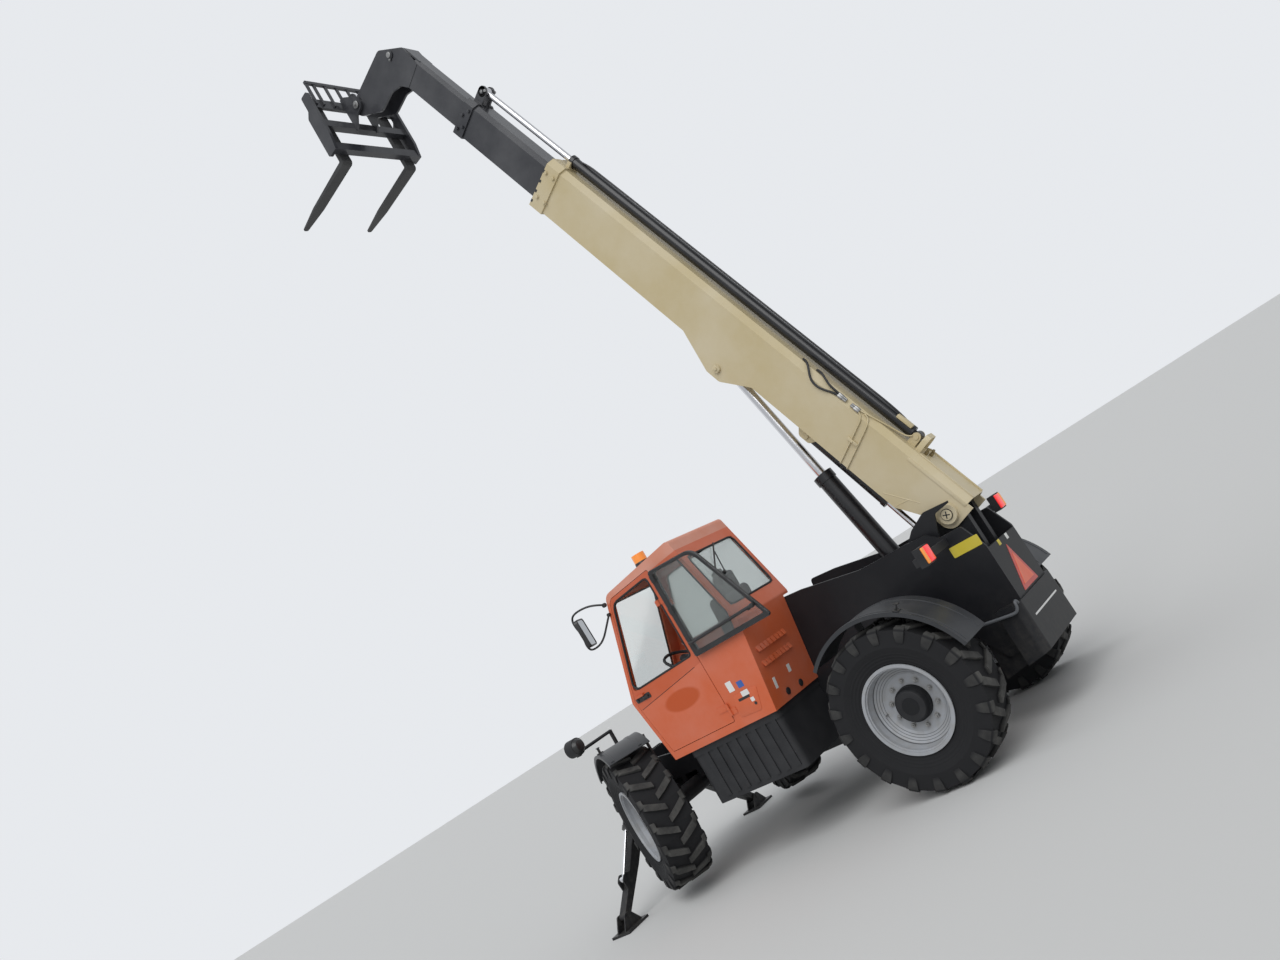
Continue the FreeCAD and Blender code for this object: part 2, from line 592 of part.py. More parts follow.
def fender(angle0, angle1):
    """A curved guard over the tyre between two angles from straight ahead, with its two arms."""
    y0, y1 = ARM_FACE, WHEEL_OFFSET + TYRE_W / 2 + 6
    shell = Part.makeCylinder(FENDER_R + FENDER_WALL, y1 - y0, Vector(0, y0, 0), Y_AXIS)
    shell = shell.cut(Part.makeCylinder(FENDER_R, y1 - y0 + 2, Vector(0, y0 - 1, 0), Y_AXIS))
    lip = Part.makeCylinder(FENDER_R + 1, 10, Vector(0, y1 - 10, 0), Y_AXIS)
    lip = lip.cut(Part.makeCylinder(FENDER_R - FENDER_LIP, 12, Vector(0, y1 - 11, 0), Y_AXIS))
    fan = [(0.0, 0.0)]
    steps = 6
    for i in range(steps + 1):
        a = math.radians(angle0 + (angle1 - angle0) * i / steps)
        fan.append((1400 * math.cos(a), 1400 * math.sin(a)))
    sector = side_plate(fan, y0 - 5, y1 + 5)
    shell = shell.fuse(lip).common(sector)
    parts = [shell]
    for x in (-ARM_X, ARM_X):
        x0, x1 = x - ARM_WIDTH / 2, x + ARM_WIDTH / 2
        reach = math.sqrt(FENDER_R ** 2 - (ARM_X + ARM_WIDTH / 2) ** 2)
        parts.append(box(x0, x1, ARM_FACE - ARM_THICK, ARM_FACE, -30, reach + 4))
        parts.append(box(x0, x1, ARM_FACE - ARM_THICK, y0 + 60, reach - 12, reach + 4))
    return fuse(parts)


def axle():
    beam = rod(Vector(0, -700, AXLE_Z), Vector(0, 700, AXLE_Z), 78)
    bulge = turned([(0, -190), (90, -170), (150, -60), (150, 60), (90, 170), (0, 190)], Vector(0, 0, AXLE_Z))
    parts = [beam, bulge]
    for side in (1, -1):
        y = side * KINGPIN_Y
        web = sorted((side * 630, side * 705))
        parts.append(box(-62, 62, web[0], web[1], AXLE_Z - 128, AXLE_Z + 128))
        ear = sorted((side * 690, y))
        for z0, z1, p0, p1 in ((95, 128, 60, 129), (-128, -95, -129, -60)):
            parts.append(box(-62, 62, ear[0], ear[1], AXLE_Z + z0, AXLE_Z + z1))
            parts.append(rod(Vector(0, y, AXLE_Z + z0), Vector(0, y, AXLE_Z + z1), 62))
            parts.append(rod(Vector(0, y, AXLE_Z + p0), Vector(0, y, AXLE_Z + p1), 25))
    for x in (-110, 110):
        parts.append(box(x - 30, x + 30, -FRAME_HALF, FRAME_HALF, AXLE_Z + 40, AXLE_SEAT_Z))
    parts.append(box(-110, 110, -260, 260, AXLE_Z + 20, AXLE_Z + 75))
    return fuse(parts)


AXLE_SEAT_Z = AXLE_Z + 125

# Chassis: the side plates' outline, the deck between them and what stands on it
DECK_Z = 880.0
REAR_X = -835.0
NOSE_X = LEG_X - LEG_WIDTH / 2 - CLEAR - NOSE_PLATE
FRAME_LOW = 430.0
ARCH_HALF = 380.0
WEIGHT_TOP = 862.0
WEIGHT_FRONT = -655.0


def chassis_frame():
    arch = AXLE_SEAT_Z
    outline = [
        (WEIGHT_FRONT, 520), (WEIGHT_FRONT, WEIGHT_TOP), (REAR_X, WEIGHT_TOP), (REAR_X, 1310, 60), (-745, 1520, 30),
        (-560, 1520, 30), (-470, 1590), (-295, 1602, 40), (148, 1604, 60), (722, 1704, 60), (985, 1727, 30), (1085, 1000, 60),
        (1160, 930, 60), (WHEELBASE - 350, 930, 60), (WHEELBASE + 300, 1010, 60), (NOSE_X, 1010, 40), (NOSE_X, 560, 40),
        (WHEELBASE + 530, 520, 40), (WHEELBASE + ARCH_HALF, arch, 30), (WHEELBASE - ARCH_HALF, arch, 30),
        (WHEELBASE - 520, FRAME_LOW, 60), (560, FRAME_LOW, 60), (ARCH_HALF, arch, 30), (-ARCH_HALF, arch, 30), (-520, 520, 40),
    ]
    plate = side_plate(outline, FRAME_HALF - FRAME_WALL, FRAME_HALF)
    inner = FRAME_HALF - FRAME_WALL
    deck = box(REAR_X + 20, NOSE_X, -inner, inner, DECK_Z - 18, DECK_Z)
    keel = box(560, WHEELBASE - 520, -inner, inner, FRAME_LOW + 20, FRAME_LOW + 40)
    rear_wall = box(REAR_X, REAR_X + 25, -inner, inner, DECK_Z - 18, 1290)
    px, pz = PIVOT.x, PIVOT.z
    pedestal = side_plate([
        (px - 100, DECK_Z - 1), (px - 104, pz, 0), (px - 104, pz + 104, 102), (px + 104, pz + 104, 102), (px + 104, pz - 60, 40),
        (px + 190, 1180, 60), (px + 260, DECK_Z - 1)], 75, 140)
    level_lug = side_plate([
        (px + 60, 1180), (LEVEL_FOOT.x - 10, LEVEL_FOOT.z + 46, 40), (LEVEL_FOOT.x + 48, LEVEL_FOOT.z + 40, 40),
        (LEVEL_FOOT.x + 48, LEVEL_FOOT.z - 40, 30), (LEVEL_FOOT.x + 60, DECK_Z - 1), (px + 60, DECK_Z - 1)], 46, 76)
    lift_lug = side_plate([
        (LIFT_FOOT.x - 130, DECK_Z - 1), (LIFT_FOOT.x - 85, LIFT_FOOT.z + 85, 80), (LIFT_FOOT.x + 85, LIFT_FOOT.z + 85, 80),
        (LIFT_FOOT.x + 130, DECK_Z - 1)], 84, 114)
    horn = side_plate([
        (-250, 1560, 10), (-368, 1668, 60), (-524, 1744, 60), (-741, 1728), (-738, 1712), (-600, 1690, 30), (-545, 1560, 50),
        (-520, 1440, 10), (-250, 1440, 10)], 255, 275)
    horn_foot = box(-520, -260, 270, inner + 1, 1440, 1470)
    pivot_pin = across(px, pz, PIVOT_PIN_R, -BASE_HALF - 52, BASE_HALF + 52)
    pin_plate = across(px, pz, 46, BASE_HALF + 46, BASE_HALF + 54)
    level_stub = across(LEVEL_FOOT.x, LEVEL_FOOT.z, 21, 41, 80)
    lift_pin = across(LIFT_FOOT.x, LIFT_FOOT.z, 38, -122, 122)
    parts = [deck, keel, rear_wall, pivot_pin, lift_pin]
    for part in (plate, pedestal, level_lug, lift_lug, horn, horn_foot, pin_plate, level_stub):
        parts += [part, mirrored(part)]
    return fuse(parts)


def nose():
    """The crossmember that holds the stabilisers: two plates across the nose and their pins."""
    outline = [
        (-250, 540, 30), (250, 540, 30), (500, 560, 50), (505, 700, 50), (420, 1040, 50), (-420, 1040, 50), (-505, 700, 50),
        (-500, 560, 50)]
    front = LEG_X + LEG_WIDTH / 2 + CLEAR
    plates = [cross_plate(outline, x, x + NOSE_PLATE) for x in (NOSE_X, front)]
    web = box(NOSE_X, front + 1, -215, 215, 560, 1030)
    pins = []
    for side in (1, -1):
        for p, r in ((LEG_PIN, LEG_PIN_R), (LEG_CYLINDER_PIN, LEG_TOP_PIN_R)):
            pins.append(rod(Vector(NOSE_X, side * p.y, p.z), Vector(front + NOSE_PLATE + 12, side * p.y, p.z), r))
    return fuse(plates + [web] + pins)


WEIGHT_REAR = -850.0
WEIGHT_HALF = 460.0


def counterweight():
    """The cast weight across the tail: wide behind the wheels, narrow between the side plates."""
    wide = side_plate([
        (WEIGHT_REAR, 470), (WEIGHT_REAR, WEIGHT_TOP), (WEIGHT_FRONT, WEIGHT_TOP), (WEIGHT_FRONT, 430)],
        -WEIGHT_HALF, WEIGHT_HALF)
    inner = FRAME_HALF - FRAME_WALL
    core = side_plate([
        (WEIGHT_FRONT - 1, 430), (WEIGHT_FRONT - 1, DECK_Z - 18), (-420, DECK_Z - 18), (-400, 372)], -inner, inner)
    plan = flat_plate([
        (WEIGHT_REAR, -WEIGHT_HALF, 60), (-300, -WEIGHT_HALF), (-300, WEIGHT_HALF), (WEIGHT_REAR, WEIGHT_HALF, 60)], 300, 900)
    return fuse([wide, core]).common(plan)


TANK_RIB_X = (1120, 1230, 1340, 1450, 1560, 1670, 1780, 1890)
TANK_RIB_HALF = 24.0
TANK_LEFT = 1060.0


def fuel_tank():
    """The ribbed moulding under the cab: its plan steps back round the front wheel, and its lid carries the cab."""
    plan = [
        (1050, FRAME_HALF), (1950, FRAME_HALF, 30), (1950, 700, 60), (2050, 800, 60), (2050, TANK_LEFT, 60),
        (1050, TANK_LEFT, 60)]
    body = flat_plate(plan, 520, 995)
    lid = [
        (1040, FRAME_HALF), (1956, FRAME_HALF), (1956, 697), (2056, 797), (2056, TANK_LEFT + 10, 60),
        (1040, TANK_LEFT + 10, 60)]
    ribs = [box(x - TANK_RIB_HALF, x + TANK_RIB_HALF, TANK_LEFT - 10, TANK_LEFT + 9, 560, 955) for x in TANK_RIB_X]
    return fuse([body, flat_plate(lid, 950, CAB_FLOOR)] + ribs)


POD_X0, POD_X1 = 860.0, 1950.0
POD_Y0, POD_Y1 = -1095.0, -FRAME_HALF
POD_LOW = 500.0
HOOD_Z = 1600.0
POD_TOP = 950.0
SHEET = 15.0
HOOD_Y1 = POD_Y1 - SHEET - CLEAR
HOOD_PIN_R = 7.0
HOOD_EAR_R = 15.0
HOOD_HINGE = Vector(0, POD_Y1 - 8, HOOD_Z - 16)
HOOD_HINGE_X = (1065.0, 1770.0)
HOOD_EAR_W = 40.0


def engine_pod():
    """The open box beside the frame that the engine stands in, with its firewall and the hood's hinge pins."""
    tray = box(POD_X0, POD_X1, POD_Y0, POD_Y1, POD_LOW, POD_TOP)
    tray = tray.cut(box(POD_X0 + SHEET, POD_X1 - SHEET, POD_Y0 + SHEET, POD_Y1 - SHEET, POD_LOW + SHEET, POD_TOP + 1))
    parts = [tray, box(POD_X0, POD_X1, POD_Y1 - SHEET, POD_Y1, POD_TOP - 1, HOOD_Z - 60)]
    y, z = HOOD_HINGE.y, HOOD_HINGE.z
    for x in HOOD_HINGE_X:
        reach = HOOD_EAR_W / 2 + 14
        parts.append(rod(Vector(x - reach, y, z), Vector(x + reach, y, z), HOOD_PIN_R))
        for x0 in (x - reach, x + reach - 12):
            parts.append(box(x0, x0 + 12, POD_Y1 - SHEET, POD_Y1, HOOD_Z - 62, z + 8))
    return fuse(parts)


def engine_block():
    return box(1040, 1760, -960, -520, POD_LOW + SHEET, 1380)


def hood_outline(inset):
    low = POD_TOP + RUNNING_GAP - (1 if inset else 0)
    inner = HOOD_Y1 + (1 if inset else 0)
    return [(inner, low), (inner, HOOD_Z - inset), (-960, HOOD_Z - inset, 60), (POD_Y0 + inset, 1400, 80), (POD_Y0 + inset, low)]


def hood():
    outer = cross_plate(hood_outline(0), POD_X0, POD_X1)
    parts = [outer.cut(cross_plate(hood_outline(SHEET), POD_X0 + SHEET, POD_X1 - SHEET))]
    y, z = HOOD_HINGE.y, HOOD_HINGE.z
    holes = []
    for x in HOOD_HINGE_X:
        x0, x1 = x - HOOD_EAR_W / 2, x + HOOD_EAR_W / 2
        parts.append(rod(Vector(x0, y, z), Vector(x1, y, z), HOOD_EAR_R))
        parts.append(box(x0, x1, HOOD_Y1 - 20, y, HOOD_Z - 12, HOOD_Z - 1))
        holes.append(rod(Vector(x0 - 1, y, z), Vector(x1 + 1, y, z), HOOD_PIN_R + RUNNING_GAP))
    return fuse(parts).cut(Part.makeCompound(holes))


# Cab: one closed profile, hollowed, cut for its windows and split where the panels meet
CAB_PROFILE = [
    (2191, CAB_FLOOR), (2308, 1590, 60), (1965, 2500, 90), (1100, 2592, 40), (885, 1760, 40), (1015, CAB_FLOOR)]
DOORWAY = [
    (DOOR_HINGE_X, 1075, 20), (2166, 1075, 20), (2274, 1592, 50), (1948, 2452, 80), (DOOR_HINGE_X, 2490, 20)]
DOOR_WINDOW = [
    (DOOR_HINGE_X + 50, 1700, 20), (2222, 1672, 20), (1930, 2408, 60), (DOOR_HINGE_X + 50, 2440, 20)]
QUARTER_WINDOW = [(960, 1700, 20), (DOOR_HINGE_X - 40, 1700, 20), (DOOR_HINGE_X - 40, 2440, 20), (1100, 2440, 30), (940, 1860, 20)]
RIGHT_WINDOW = [(960, 1800, 20), (2170, 1800, 20), (1915, 2420, 60), (1110, 2450, 30), (945, 1870, 20)]


def cab_face(inset):
    face = Part.Face(closed_wire(CAB_PROFILE))
    if inset:
        face = face.makeOffset2D(-inset)
    face.rotate(Vector(0, 0, 0), X_AXIS, 90)
    return face


def cab_solid(inset, y0, y1):
    face = cab_face(inset)
    face.translate(Vector(0, y0, 0))
    return face.extrude(Vector(0, y1 - y0, 0))


WINDSCREEN = (420.0, 1020.0, 1665.0, 2415.0)
REAR_WINDOW = (318.0, 1030.0, 1885.0, 2400.0)
ROOF_LINE = 2440.0
STEP_Z = 1736.0


def cab_hull(inset):
    """The closed cab, or its inside: above the step it reaches in over the side of the frame."""
    low = cab_solid(inset, FRAME_HALF + inset, CAB_LEFT - inset)
    high = cab_solid(inset, CAB_RIGHT + inset, CAB_LEFT - inset)
    return low.fuse(high.common(box(0, 3000, 0, 1300, STEP_Z + inset, 3000)))


def cab_shell():
    shell = cab_hull(0).cut(cab_hull(CAB_WALL))
    shell = shell.cut(side_plate(DOORWAY, CAB_LEFT - 60, CAB_LEFT + 10))
    shell = shell.cut(side_plate(QUARTER_WINDOW, CAB_LEFT - 60, CAB_LEFT + 10))
    shell = shell.cut(side_plate(RIGHT_WINDOW, CAB_RIGHT - 10, CAB_RIGHT + 60))
    y0, y1, z0, z1 = WINDSCREEN
    shell = shell.cut(box(1900, 2500, y0, y1, z0, z1))
    y0, y1, z0, z1 = REAR_WINDOW
    return shell.cut(box(700, 1100, y0, y1, z0, z1))


LOUVRE_ROWS = (1515.0, 1395.0)
LOUVRE_Y = (560, 620, 680, 740, 800, 860, 920, 980)
LOUVRE_WIDTH = 46.0
LOUVRE_DROP = 52.0
LOUVRE_REACH = 24.0


def rear_wall_x(z):
    """The outside of the cab's rear wall below the belt, at a height."""
    (low_x, low_z), (high_x, high_z) = CAB_PROFILE[5], CAB_PROFILE[4][:2]
    return low_x + (high_x - low_x) * (z - low_z) / (high_z - low_z)


def louvres():
    """Two rows of pressed hoods on the rear wall, open below."""
    hoods = []
    for z in LOUVRE_ROWS:
        lip = z - LOUVRE_DROP
        profile = [
            (rear_wall_x(z) + 2, z), (rear_wall_x(lip) - LOUVRE_REACH, lip), (rear_wall_x(lip) - LOUVRE_REACH + 6, lip - 4),
            (rear_wall_x(z - 12) + 2, z - 12)]
        hoods += [side_plate(profile, y, y + LOUVRE_WIDTH) for y in LOUVRE_Y]
    return hoods


def cab_lower():
    walls = cab_shell().common(box(500, 2600, 0, 1300, 900, BELT))
    return fuse([walls] + louvres())


def cab_frame():
    return cab_shell().common(side_plate([(500, BELT), (2600, BELT), (2600, ROOF_LINE - 60), (500, ROOF_LINE + 90)], 0, 1300))


def cab_roof():
    return cab_shell().common(side_plate([(500, ROOF_LINE + 90), (2600, ROOF_LINE - 60), (2600, 3000), (500, 3000)], 0, 1300))


def cab_glass():
    """Windscreen, rear, right and quarter panes, each in the middle of its wall."""
    shapes = []
    ring = cab_solid(CAB_WALL / 2 - 2.5, 0, 1300).cut(cab_solid(CAB_WALL / 2 + 2.5, -1, 1301))
    for (y0, y1, z0, z1), x0, x1 in ((WINDSCREEN, 1900, 2500), (REAR_WINDOW, 700, 1100)):
        shapes.append(ring.common(box(x0, x1, y0 + 0.5, y1 - 0.5, z0 + 0.5, z1 - 0.5)))
    for window, wall_y in ((RIGHT_WINDOW, CAB_RIGHT + CAB_WALL / 2), (QUARTER_WINDOW, CAB_LEFT - CAB_WALL / 2)):
        face = Part.Face(closed_wire(window)).makeOffset2D(-0.5)
        face.rotate(Vector(0, 0, 0), X_AXIS, 90)
        face.translate(Vector(0, wall_y - 2.5, 0))
        shapes.append(face.extrude(Vector(0, 5, 0)))
    return Part.makeCompound(shapes)


HINGE_X = DOOR_HINGE_X - 12
HINGE_Y = CAB_LEFT + 14
HINGE_PIN_R = 6.0
HINGE_KNUCKLE_R = 12.0
HINGE_ROWS = (1180.0, 2180.0)
KNUCKLE_H = 50.0
DOOR_SKIN = 2.0
DOOR_THICK = 32.0


def cab_hinges():
    """The cab's half of the door hinges: a lug on the post at each row, with the pin standing in it."""
    parts = []
    for z in HINGE_ROWS:
        lug = rod(Vector(HINGE_X, HINGE_Y, z - KNUCKLE_H), Vector(HINGE_X, HINGE_Y, z), HINGE_KNUCKLE_R)
        leaf = box(HINGE_X - 60, HINGE_X, CAB_LEFT, CAB_LEFT + 6, z - KNUCKLE_H, z)
        neck = box(HINGE_X - HINGE_KNUCKLE_R, HINGE_X, CAB_LEFT, HINGE_Y, z - KNUCKLE_H, z)
        pin = rod(Vector(HINGE_X, HINGE_Y, z - KNUCKLE_H), Vector(HINGE_X, HINGE_Y, z + KNUCKLE_H + 4), HINGE_PIN_R)
        parts.append(fuse([lug, leaf, neck, pin]))
    return parts


def cab_door():
    face = Part.Face(closed_wire(DOORWAY)).makeOffset2D(-DOOR_GAP)
    face.rotate(Vector(0, 0, 0), X_AXIS, 90)
    skin = CAB_LEFT + DOOR_SKIN
    face.translate(Vector(0, skin - DOOR_THICK, 0))
    panel = face.extrude(Vector(0, DOOR_THICK, 0))
    panel = panel.cut(side_plate(DOOR_WINDOW, CAB_LEFT - 60, CAB_LEFT + 60))
    parts = [panel, box(2130, 2230, skin - 1, skin + 24, 1610, 1632)]
    holes = []
    for z in HINGE_ROWS:
        low, high = z + 0.5, z + KNUCKLE_H
        ring = rod(Vector(HINGE_X, HINGE_Y, low), Vector(HINGE_X, HINGE_Y, high), HINGE_KNUCKLE_R)
        strap = box(HINGE_X, HINGE_X + 110, skin - 1, skin + 6, low, high)
        neck = box(HINGE_X, HINGE_X + HINGE_KNUCKLE_R, skin, HINGE_Y, low, high)
        parts += [ring, strap.cut(box(0, DOOR_HINGE_X + DOOR_GAP, 0, skin, 0, 3000)), neck]
        holes.append(rod(Vector(HINGE_X, HINGE_Y, low - 1), Vector(HINGE_X, HINGE_Y, high + 1), HINGE_PIN_R + RUNNING_GAP))
    return fuse(parts).cut(Part.makeCompound(holes))


SWUNG_Y = CAB_LEFT + 30
SWUNG_THICK = 20.0


def upper_door_window():
    """The top half of the door swung right back and latched flat against the rear quarter."""
    front = DOOR_HINGE_X - 22
    rear = front - 840
    outline = [(front, 1672, 20), (front, 2462, 30), (front - 500, 2430, 140), (rear, 1672, 20)]
    inner = [(front - 26, 1700, 12), (front - 26, 2430, 20), (front - 478, 2402, 110), (rear + 44, 1700, 12)]
    frame = side_plate(outline, SWUNG_Y, SWUNG_Y + SWUNG_THICK)
    frame = frame.cut(side_plate(inner, CAB_LEFT, CAB_LEFT + 90))
    glass = side_plate(inner, SWUNG_Y + 8, SWUNG_Y + 13)
    catches = [box(x, x + 30, CAB_LEFT, SWUNG_Y + 1, 1674, 1696) for x in (1000, 1340)]
    return fuse([frame, glass] + catches)


def driver_seat():
    base = box(1230, 1600, 500, 880, CAB_FLOOR + CAB_WALL, 1290)
    cushion = side_plate([(1200, 1290), (1680, 1290, 30), (1680, 1400, 40), (1200, 1390)], 450, 930)
    back = side_plate([(1130, 1300), (1230, 1300), (1180, 2000, 50), (1060, 2000, 50)], 460, 920)
    return fuse([base, cushion, back])


STEER_WHEEL = Vector(1890, 680, 1690)
STEER_WHEEL_R = 185.0
STEER_WHEEL_TILT = 33.5
GRIP_R = 14.0


def steering_console():
    column = side_plate([(1990, CAB_FLOOR + CAB_WALL), (2140, CAB_FLOOR + CAB_WALL), (2080, 1560, 30), (1960, 1600, 30)], 600, 760)
    stem = rod(Vector(2020, STEER_WHEEL.y, 1560), STEER_WHEEL, 22)
    grip = [(STEER_WHEEL_R + GRIP_R * math.cos(a), GRIP_R * math.sin(a)) for a in (k * math.pi / 3 for k in range(6))]
    ring = facetted(grip, 24)
    ring.rotate(Vector(0, 0, 0), X_AXIS, 90)
    ring.rotate(Vector(0, 0, 0), Y_AXIS, -STEER_WHEEL_TILT)
    ring.translate(STEER_WHEEL)
    spoke = Y_AXIS * STEER_WHEEL_R
    spokes = rod(STEER_WHEEL - spoke, STEER_WHEEL + spoke, 10)
    return fuse([column, stem, ring, spokes])


def mirror():
    foot = side_plate([(2200, 1800), (2222, 1800), (2197, 1866), (2175, 1866)], CAB_LEFT, CAB_LEFT + 14)
    post = rod(Vector(2199, CAB_LEFT + 10, 1833), Vector(2290, CAB_LEFT + 66, 1900), 11)
    arm = rod(Vector(2290, CAB_LEFT + 66, 1895), Vector(2318, CAB_LEFT + 70, 2350), 11)
    head = side_plate([(2300, 2130, 12), (2340, 2130, 12), (2350, 2410, 12), (2310, 2410, 12)], CAB_LEFT - 10, CAB_LEFT + 160)
    return fuse([foot, post, arm, head])


BEACON = Vector(1795, 640, 2480)


def beacon():
    foot = rod(BEACON, BEACON + Vector(0, 0, 90), 42).cut(cab_solid(0, CAB_RIGHT, CAB_LEFT))
    lamp = rod(BEACON + Vector(0, 0, 89), BEACON + Vector(0, 0, 215), 62)
    return fuse([foot, lamp])


LAMP_Y = 900.0


def tail_lamps():
    shapes = []
    for side in (1, -1):
        ends = sorted((side * (FRAME_HALF + 0.0), side * (LAMP_Y + 60)))
        arm = box(-600, -560, ends[0], ends[1], 1440, 1500)
        head = sorted((side * (LAMP_Y - 75), side * (LAMP_Y + 75)))
        shapes.append(arm.fuse(box(-660, -599, head[0], head[1], 1420, 1560)))
    return Part.makeCompound(shapes)


HEADLAMP = Vector(WHEELBASE + 516, 1000, 1496)
HEADLAMP_R = 82.0
HEADLAMP_POST = Vector(WHEELBASE + 640, FRAME_HALF + 22, 1440)


def headlamps():
    shapes = []
    for side in (1, -1):
        elbow, eye = Vector(HEADLAMP_POST.x, side * HEADLAMP_POST.y, HEADLAMP_POST.z), Vector(HEADLAMP.x, side * HEADLAMP.y, HEADLAMP.z)
        post = rod(Vector(elbow.x, elbow.y, 900), elbow + Vector(0, 0, 10), 20)
        arm = rod(elbow, Vector(eye.x + 10, eye.y, elbow.z), 16)
        foot = box(elbow.x - 30, elbow.x + 30, *sorted((side * FRAME_HALF, side * (FRAME_HALF + 30))), 880, 960)
        lamp = rod(eye - Vector(50, 0, 0), eye + Vector(60, 0, 0), HEADLAMP_R)
        shapes.append(fuse([post, arm, foot, lamp]))
    return Part.makeCompound(shapes)


# Stabilisers

def leg_eye():
    """Where the cylinder takes hold of the leg: a little above the line to the foot."""
    along = (FOOT - LEG_PIN).normalize()
    a = math.atan2(along.z, along.y) + math.radians(LEG_EYE_LIFT)
    return LEG_PIN + Vector(0, LEG_EYE_RADIUS * math.cos(a), LEG_EYE_RADIUS * math.sin(a))


def leg():
    """The left leg: a tapered box arm with the cheeks for its cylinder."""
    half = LEG_WIDTH / 2
    along = (FOOT - LEG_PIN).normalize()
    up = Vector(0, -along.z, along.y)
    length = (FOOT - LEG_PIN).Length

    def at(u, v, *radius):
        p = LEG_PIN + along * u + up * v
        return (p.y, p.z) + radius

    arm = [
        at(-60, -60, 58), at(length * 0.5, -62, 80), at(length + 30, -32, 28), at(length + 30, 30, 28), at(length * 0.75, 26),
        at(length * 0.35, 48, 60), at(-60, 60, 58)]
    body = cross_plate(arm, LEG_X - half, LEG_X + half)
    eye = leg_eye()
    u, v = (eye - LEG_PIN).dot(along), (eye - LEG_PIN).dot(up)
    cheek = [at(u - 95, 10), at(u + 95, 10), at(u + 36, v + 36, 34), at(u - 36, v + 36, 34)]
    cheeks = [cross_plate(cheek, x, x + LEG_CHEEK) for x in (LEG_X - half, LEG_X + half - LEG_CHEEK)]
    slot = rod(Vector(LEG_X - half + LEG_CHEEK, eye.y, eye.z), Vector(LEG_X + half - LEG_CHEEK, eye.y, eye.z), LEG_EYE_R + CLEAR)
    stub = LEG_CHEEK + 2
    stubs = [rod(Vector(x, eye.y, eye.z), Vector(x + stub, eye.y, eye.z), LEG_EYE_PIN_R) for x in (LEG_X - half, LEG_X + half - stub)]
    hole = rod(Vector(LEG_X - 100, LEG_PIN.y, LEG_PIN.z), Vector(LEG_X + 100, LEG_PIN.y, LEG_PIN.z), LEG_PIN_R + RUNNING_GAP)
    return fuse([body.cut(slot)] + cheeks + stubs).cut(hole)


def pad_on_ground():
    """The foot plate with its ankle, drawn in the tipped machine's frame so that it lies flat."""
    ankle = stand_point(FOOT)
    plate = box(ankle.x - 125, ankle.x + 125, ankle.y - 145, ankle.y + 145, 0, 22)
    top = ankle.z + 34
    half = LEG_WIDTH / 2 + 3
    ribs = [
        cross_plate([(ankle.y - 125, 20), (ankle.y + 125, 20), (ankle.y + 34, top, 30), (ankle.y - 34, top, 30)], x, x + 14)
        for x in (ankle.x - half - 14, ankle.x + half)]
    pin = rod(Vector(ankle.x - half - 20, ankle.y, ankle.z), Vector(ankle.x + half + 20, ankle.y, ankle.z), 20)
    return fuse([plate, pin] + ribs)


def leg_barrel():
    foot, eye = LEG_CYLINDER_PIN, leg_eye()
    along = (eye - foot).normalize()
    mouth = foot + along * LEG_BARREL_LENGTH
    body = rod(foot + along * 30, mouth, LEG_BARREL_R)
    gland = rod(mouth - along * 36, mouth, LEG_BARREL_R + 5)
    inside = rod(foot + along * 75, mouth + along, LEG_ROD_R + RUNNING_GAP)
    return foot_eye(fuse([body, gland]).cut(inside), foot, 38, LEG_WIDTH, LEG_TOP_PIN_R, X_AXIS)


def leg_rod():
    foot, eye = LEG_CYLINDER_PIN, leg_eye()
    along = (eye - foot).normalize()
    width = LEG_WIDTH - 2 * LEG_CHEEK - 5
    return foot_eye(rod(eye - along * LEG_ROD_LENGTH, eye, LEG_ROD_R), eye, LEG_EYE_R, width, LEG_EYE_PIN_R, X_AXIS)


# Standing: nose up about the rear axle

def stand(shape):
    moved = shape.copy()
    moved.rotate(Vector(0, 0, AXLE_Z), Y_AXIS, -PITCH)
    return moved


def stand_point(p):
    turn = FreeCAD.Rotation(Y_AXIS, -PITCH)
    return turn.multVec(p - Vector(0, 0, AXLE_Z)) + Vector(0, 0, AXLE_Z)


# Corners: name, axle x, side, steering angle at rest, fender from and to angle
CORNERS = (
    ("front_left", WHEELBASE, 1, FRONT_STEER, 40, 122),
    ("front_right", WHEELBASE, -1, FRONT_STEER, 40, 122),
    ("rear_left", 0.0, 1, 0.0, 47, 160),
    ("rear_right", 0.0, -1, 0.0, 47, 160),
)


def corner_place(shape, axle_x, side, steer):
    placed = shape.copy() if side > 0 else mirrored(shape)
    placed.rotate(Vector(0, 0, 0), Z_AXIS, steer)
    placed.translate(Vector(axle_x, side * KINGPIN_Y, AXLE_Z))
    return placed


def corner_nodes():
    nodes = {}
    wheel_rim, wheel_tyre, pivot = rim(), tyre(), knuckle()
    guards = {(40, 122): fender(40, 122), (47, 160): fender(47, 160)}
    for name, axle_x, side, steer, a0, a1 in CORNERS:
        nodes["knuckle_" + name] = corner_place(pivot, axle_x, side, steer)
        nodes["fender_" + name] = corner_place(guards[(a0, a1)], axle_x, side, steer)
        nodes["rim_" + name] = corner_place(wheel_rim, axle_x, side, steer)
        nodes["tyre_" + name] = corner_place(wheel_tyre, axle_x, side, steer)
    return nodes


def stabiliser_nodes():
    nodes = {}
    for name, side in (("left", 1), ("right", -1)):
        for piece, make in (("leg", leg), ("leg_barrel", leg_barrel), ("leg_rod", leg_rod)):
            shape = stand(make())
            if piece == "leg":
                shape = shape.fuse(pad_on_ground()).removeSplitter()
            nodes[piece + "_" + name] = shape if side > 0 else mirrored(shape)
    return nodes


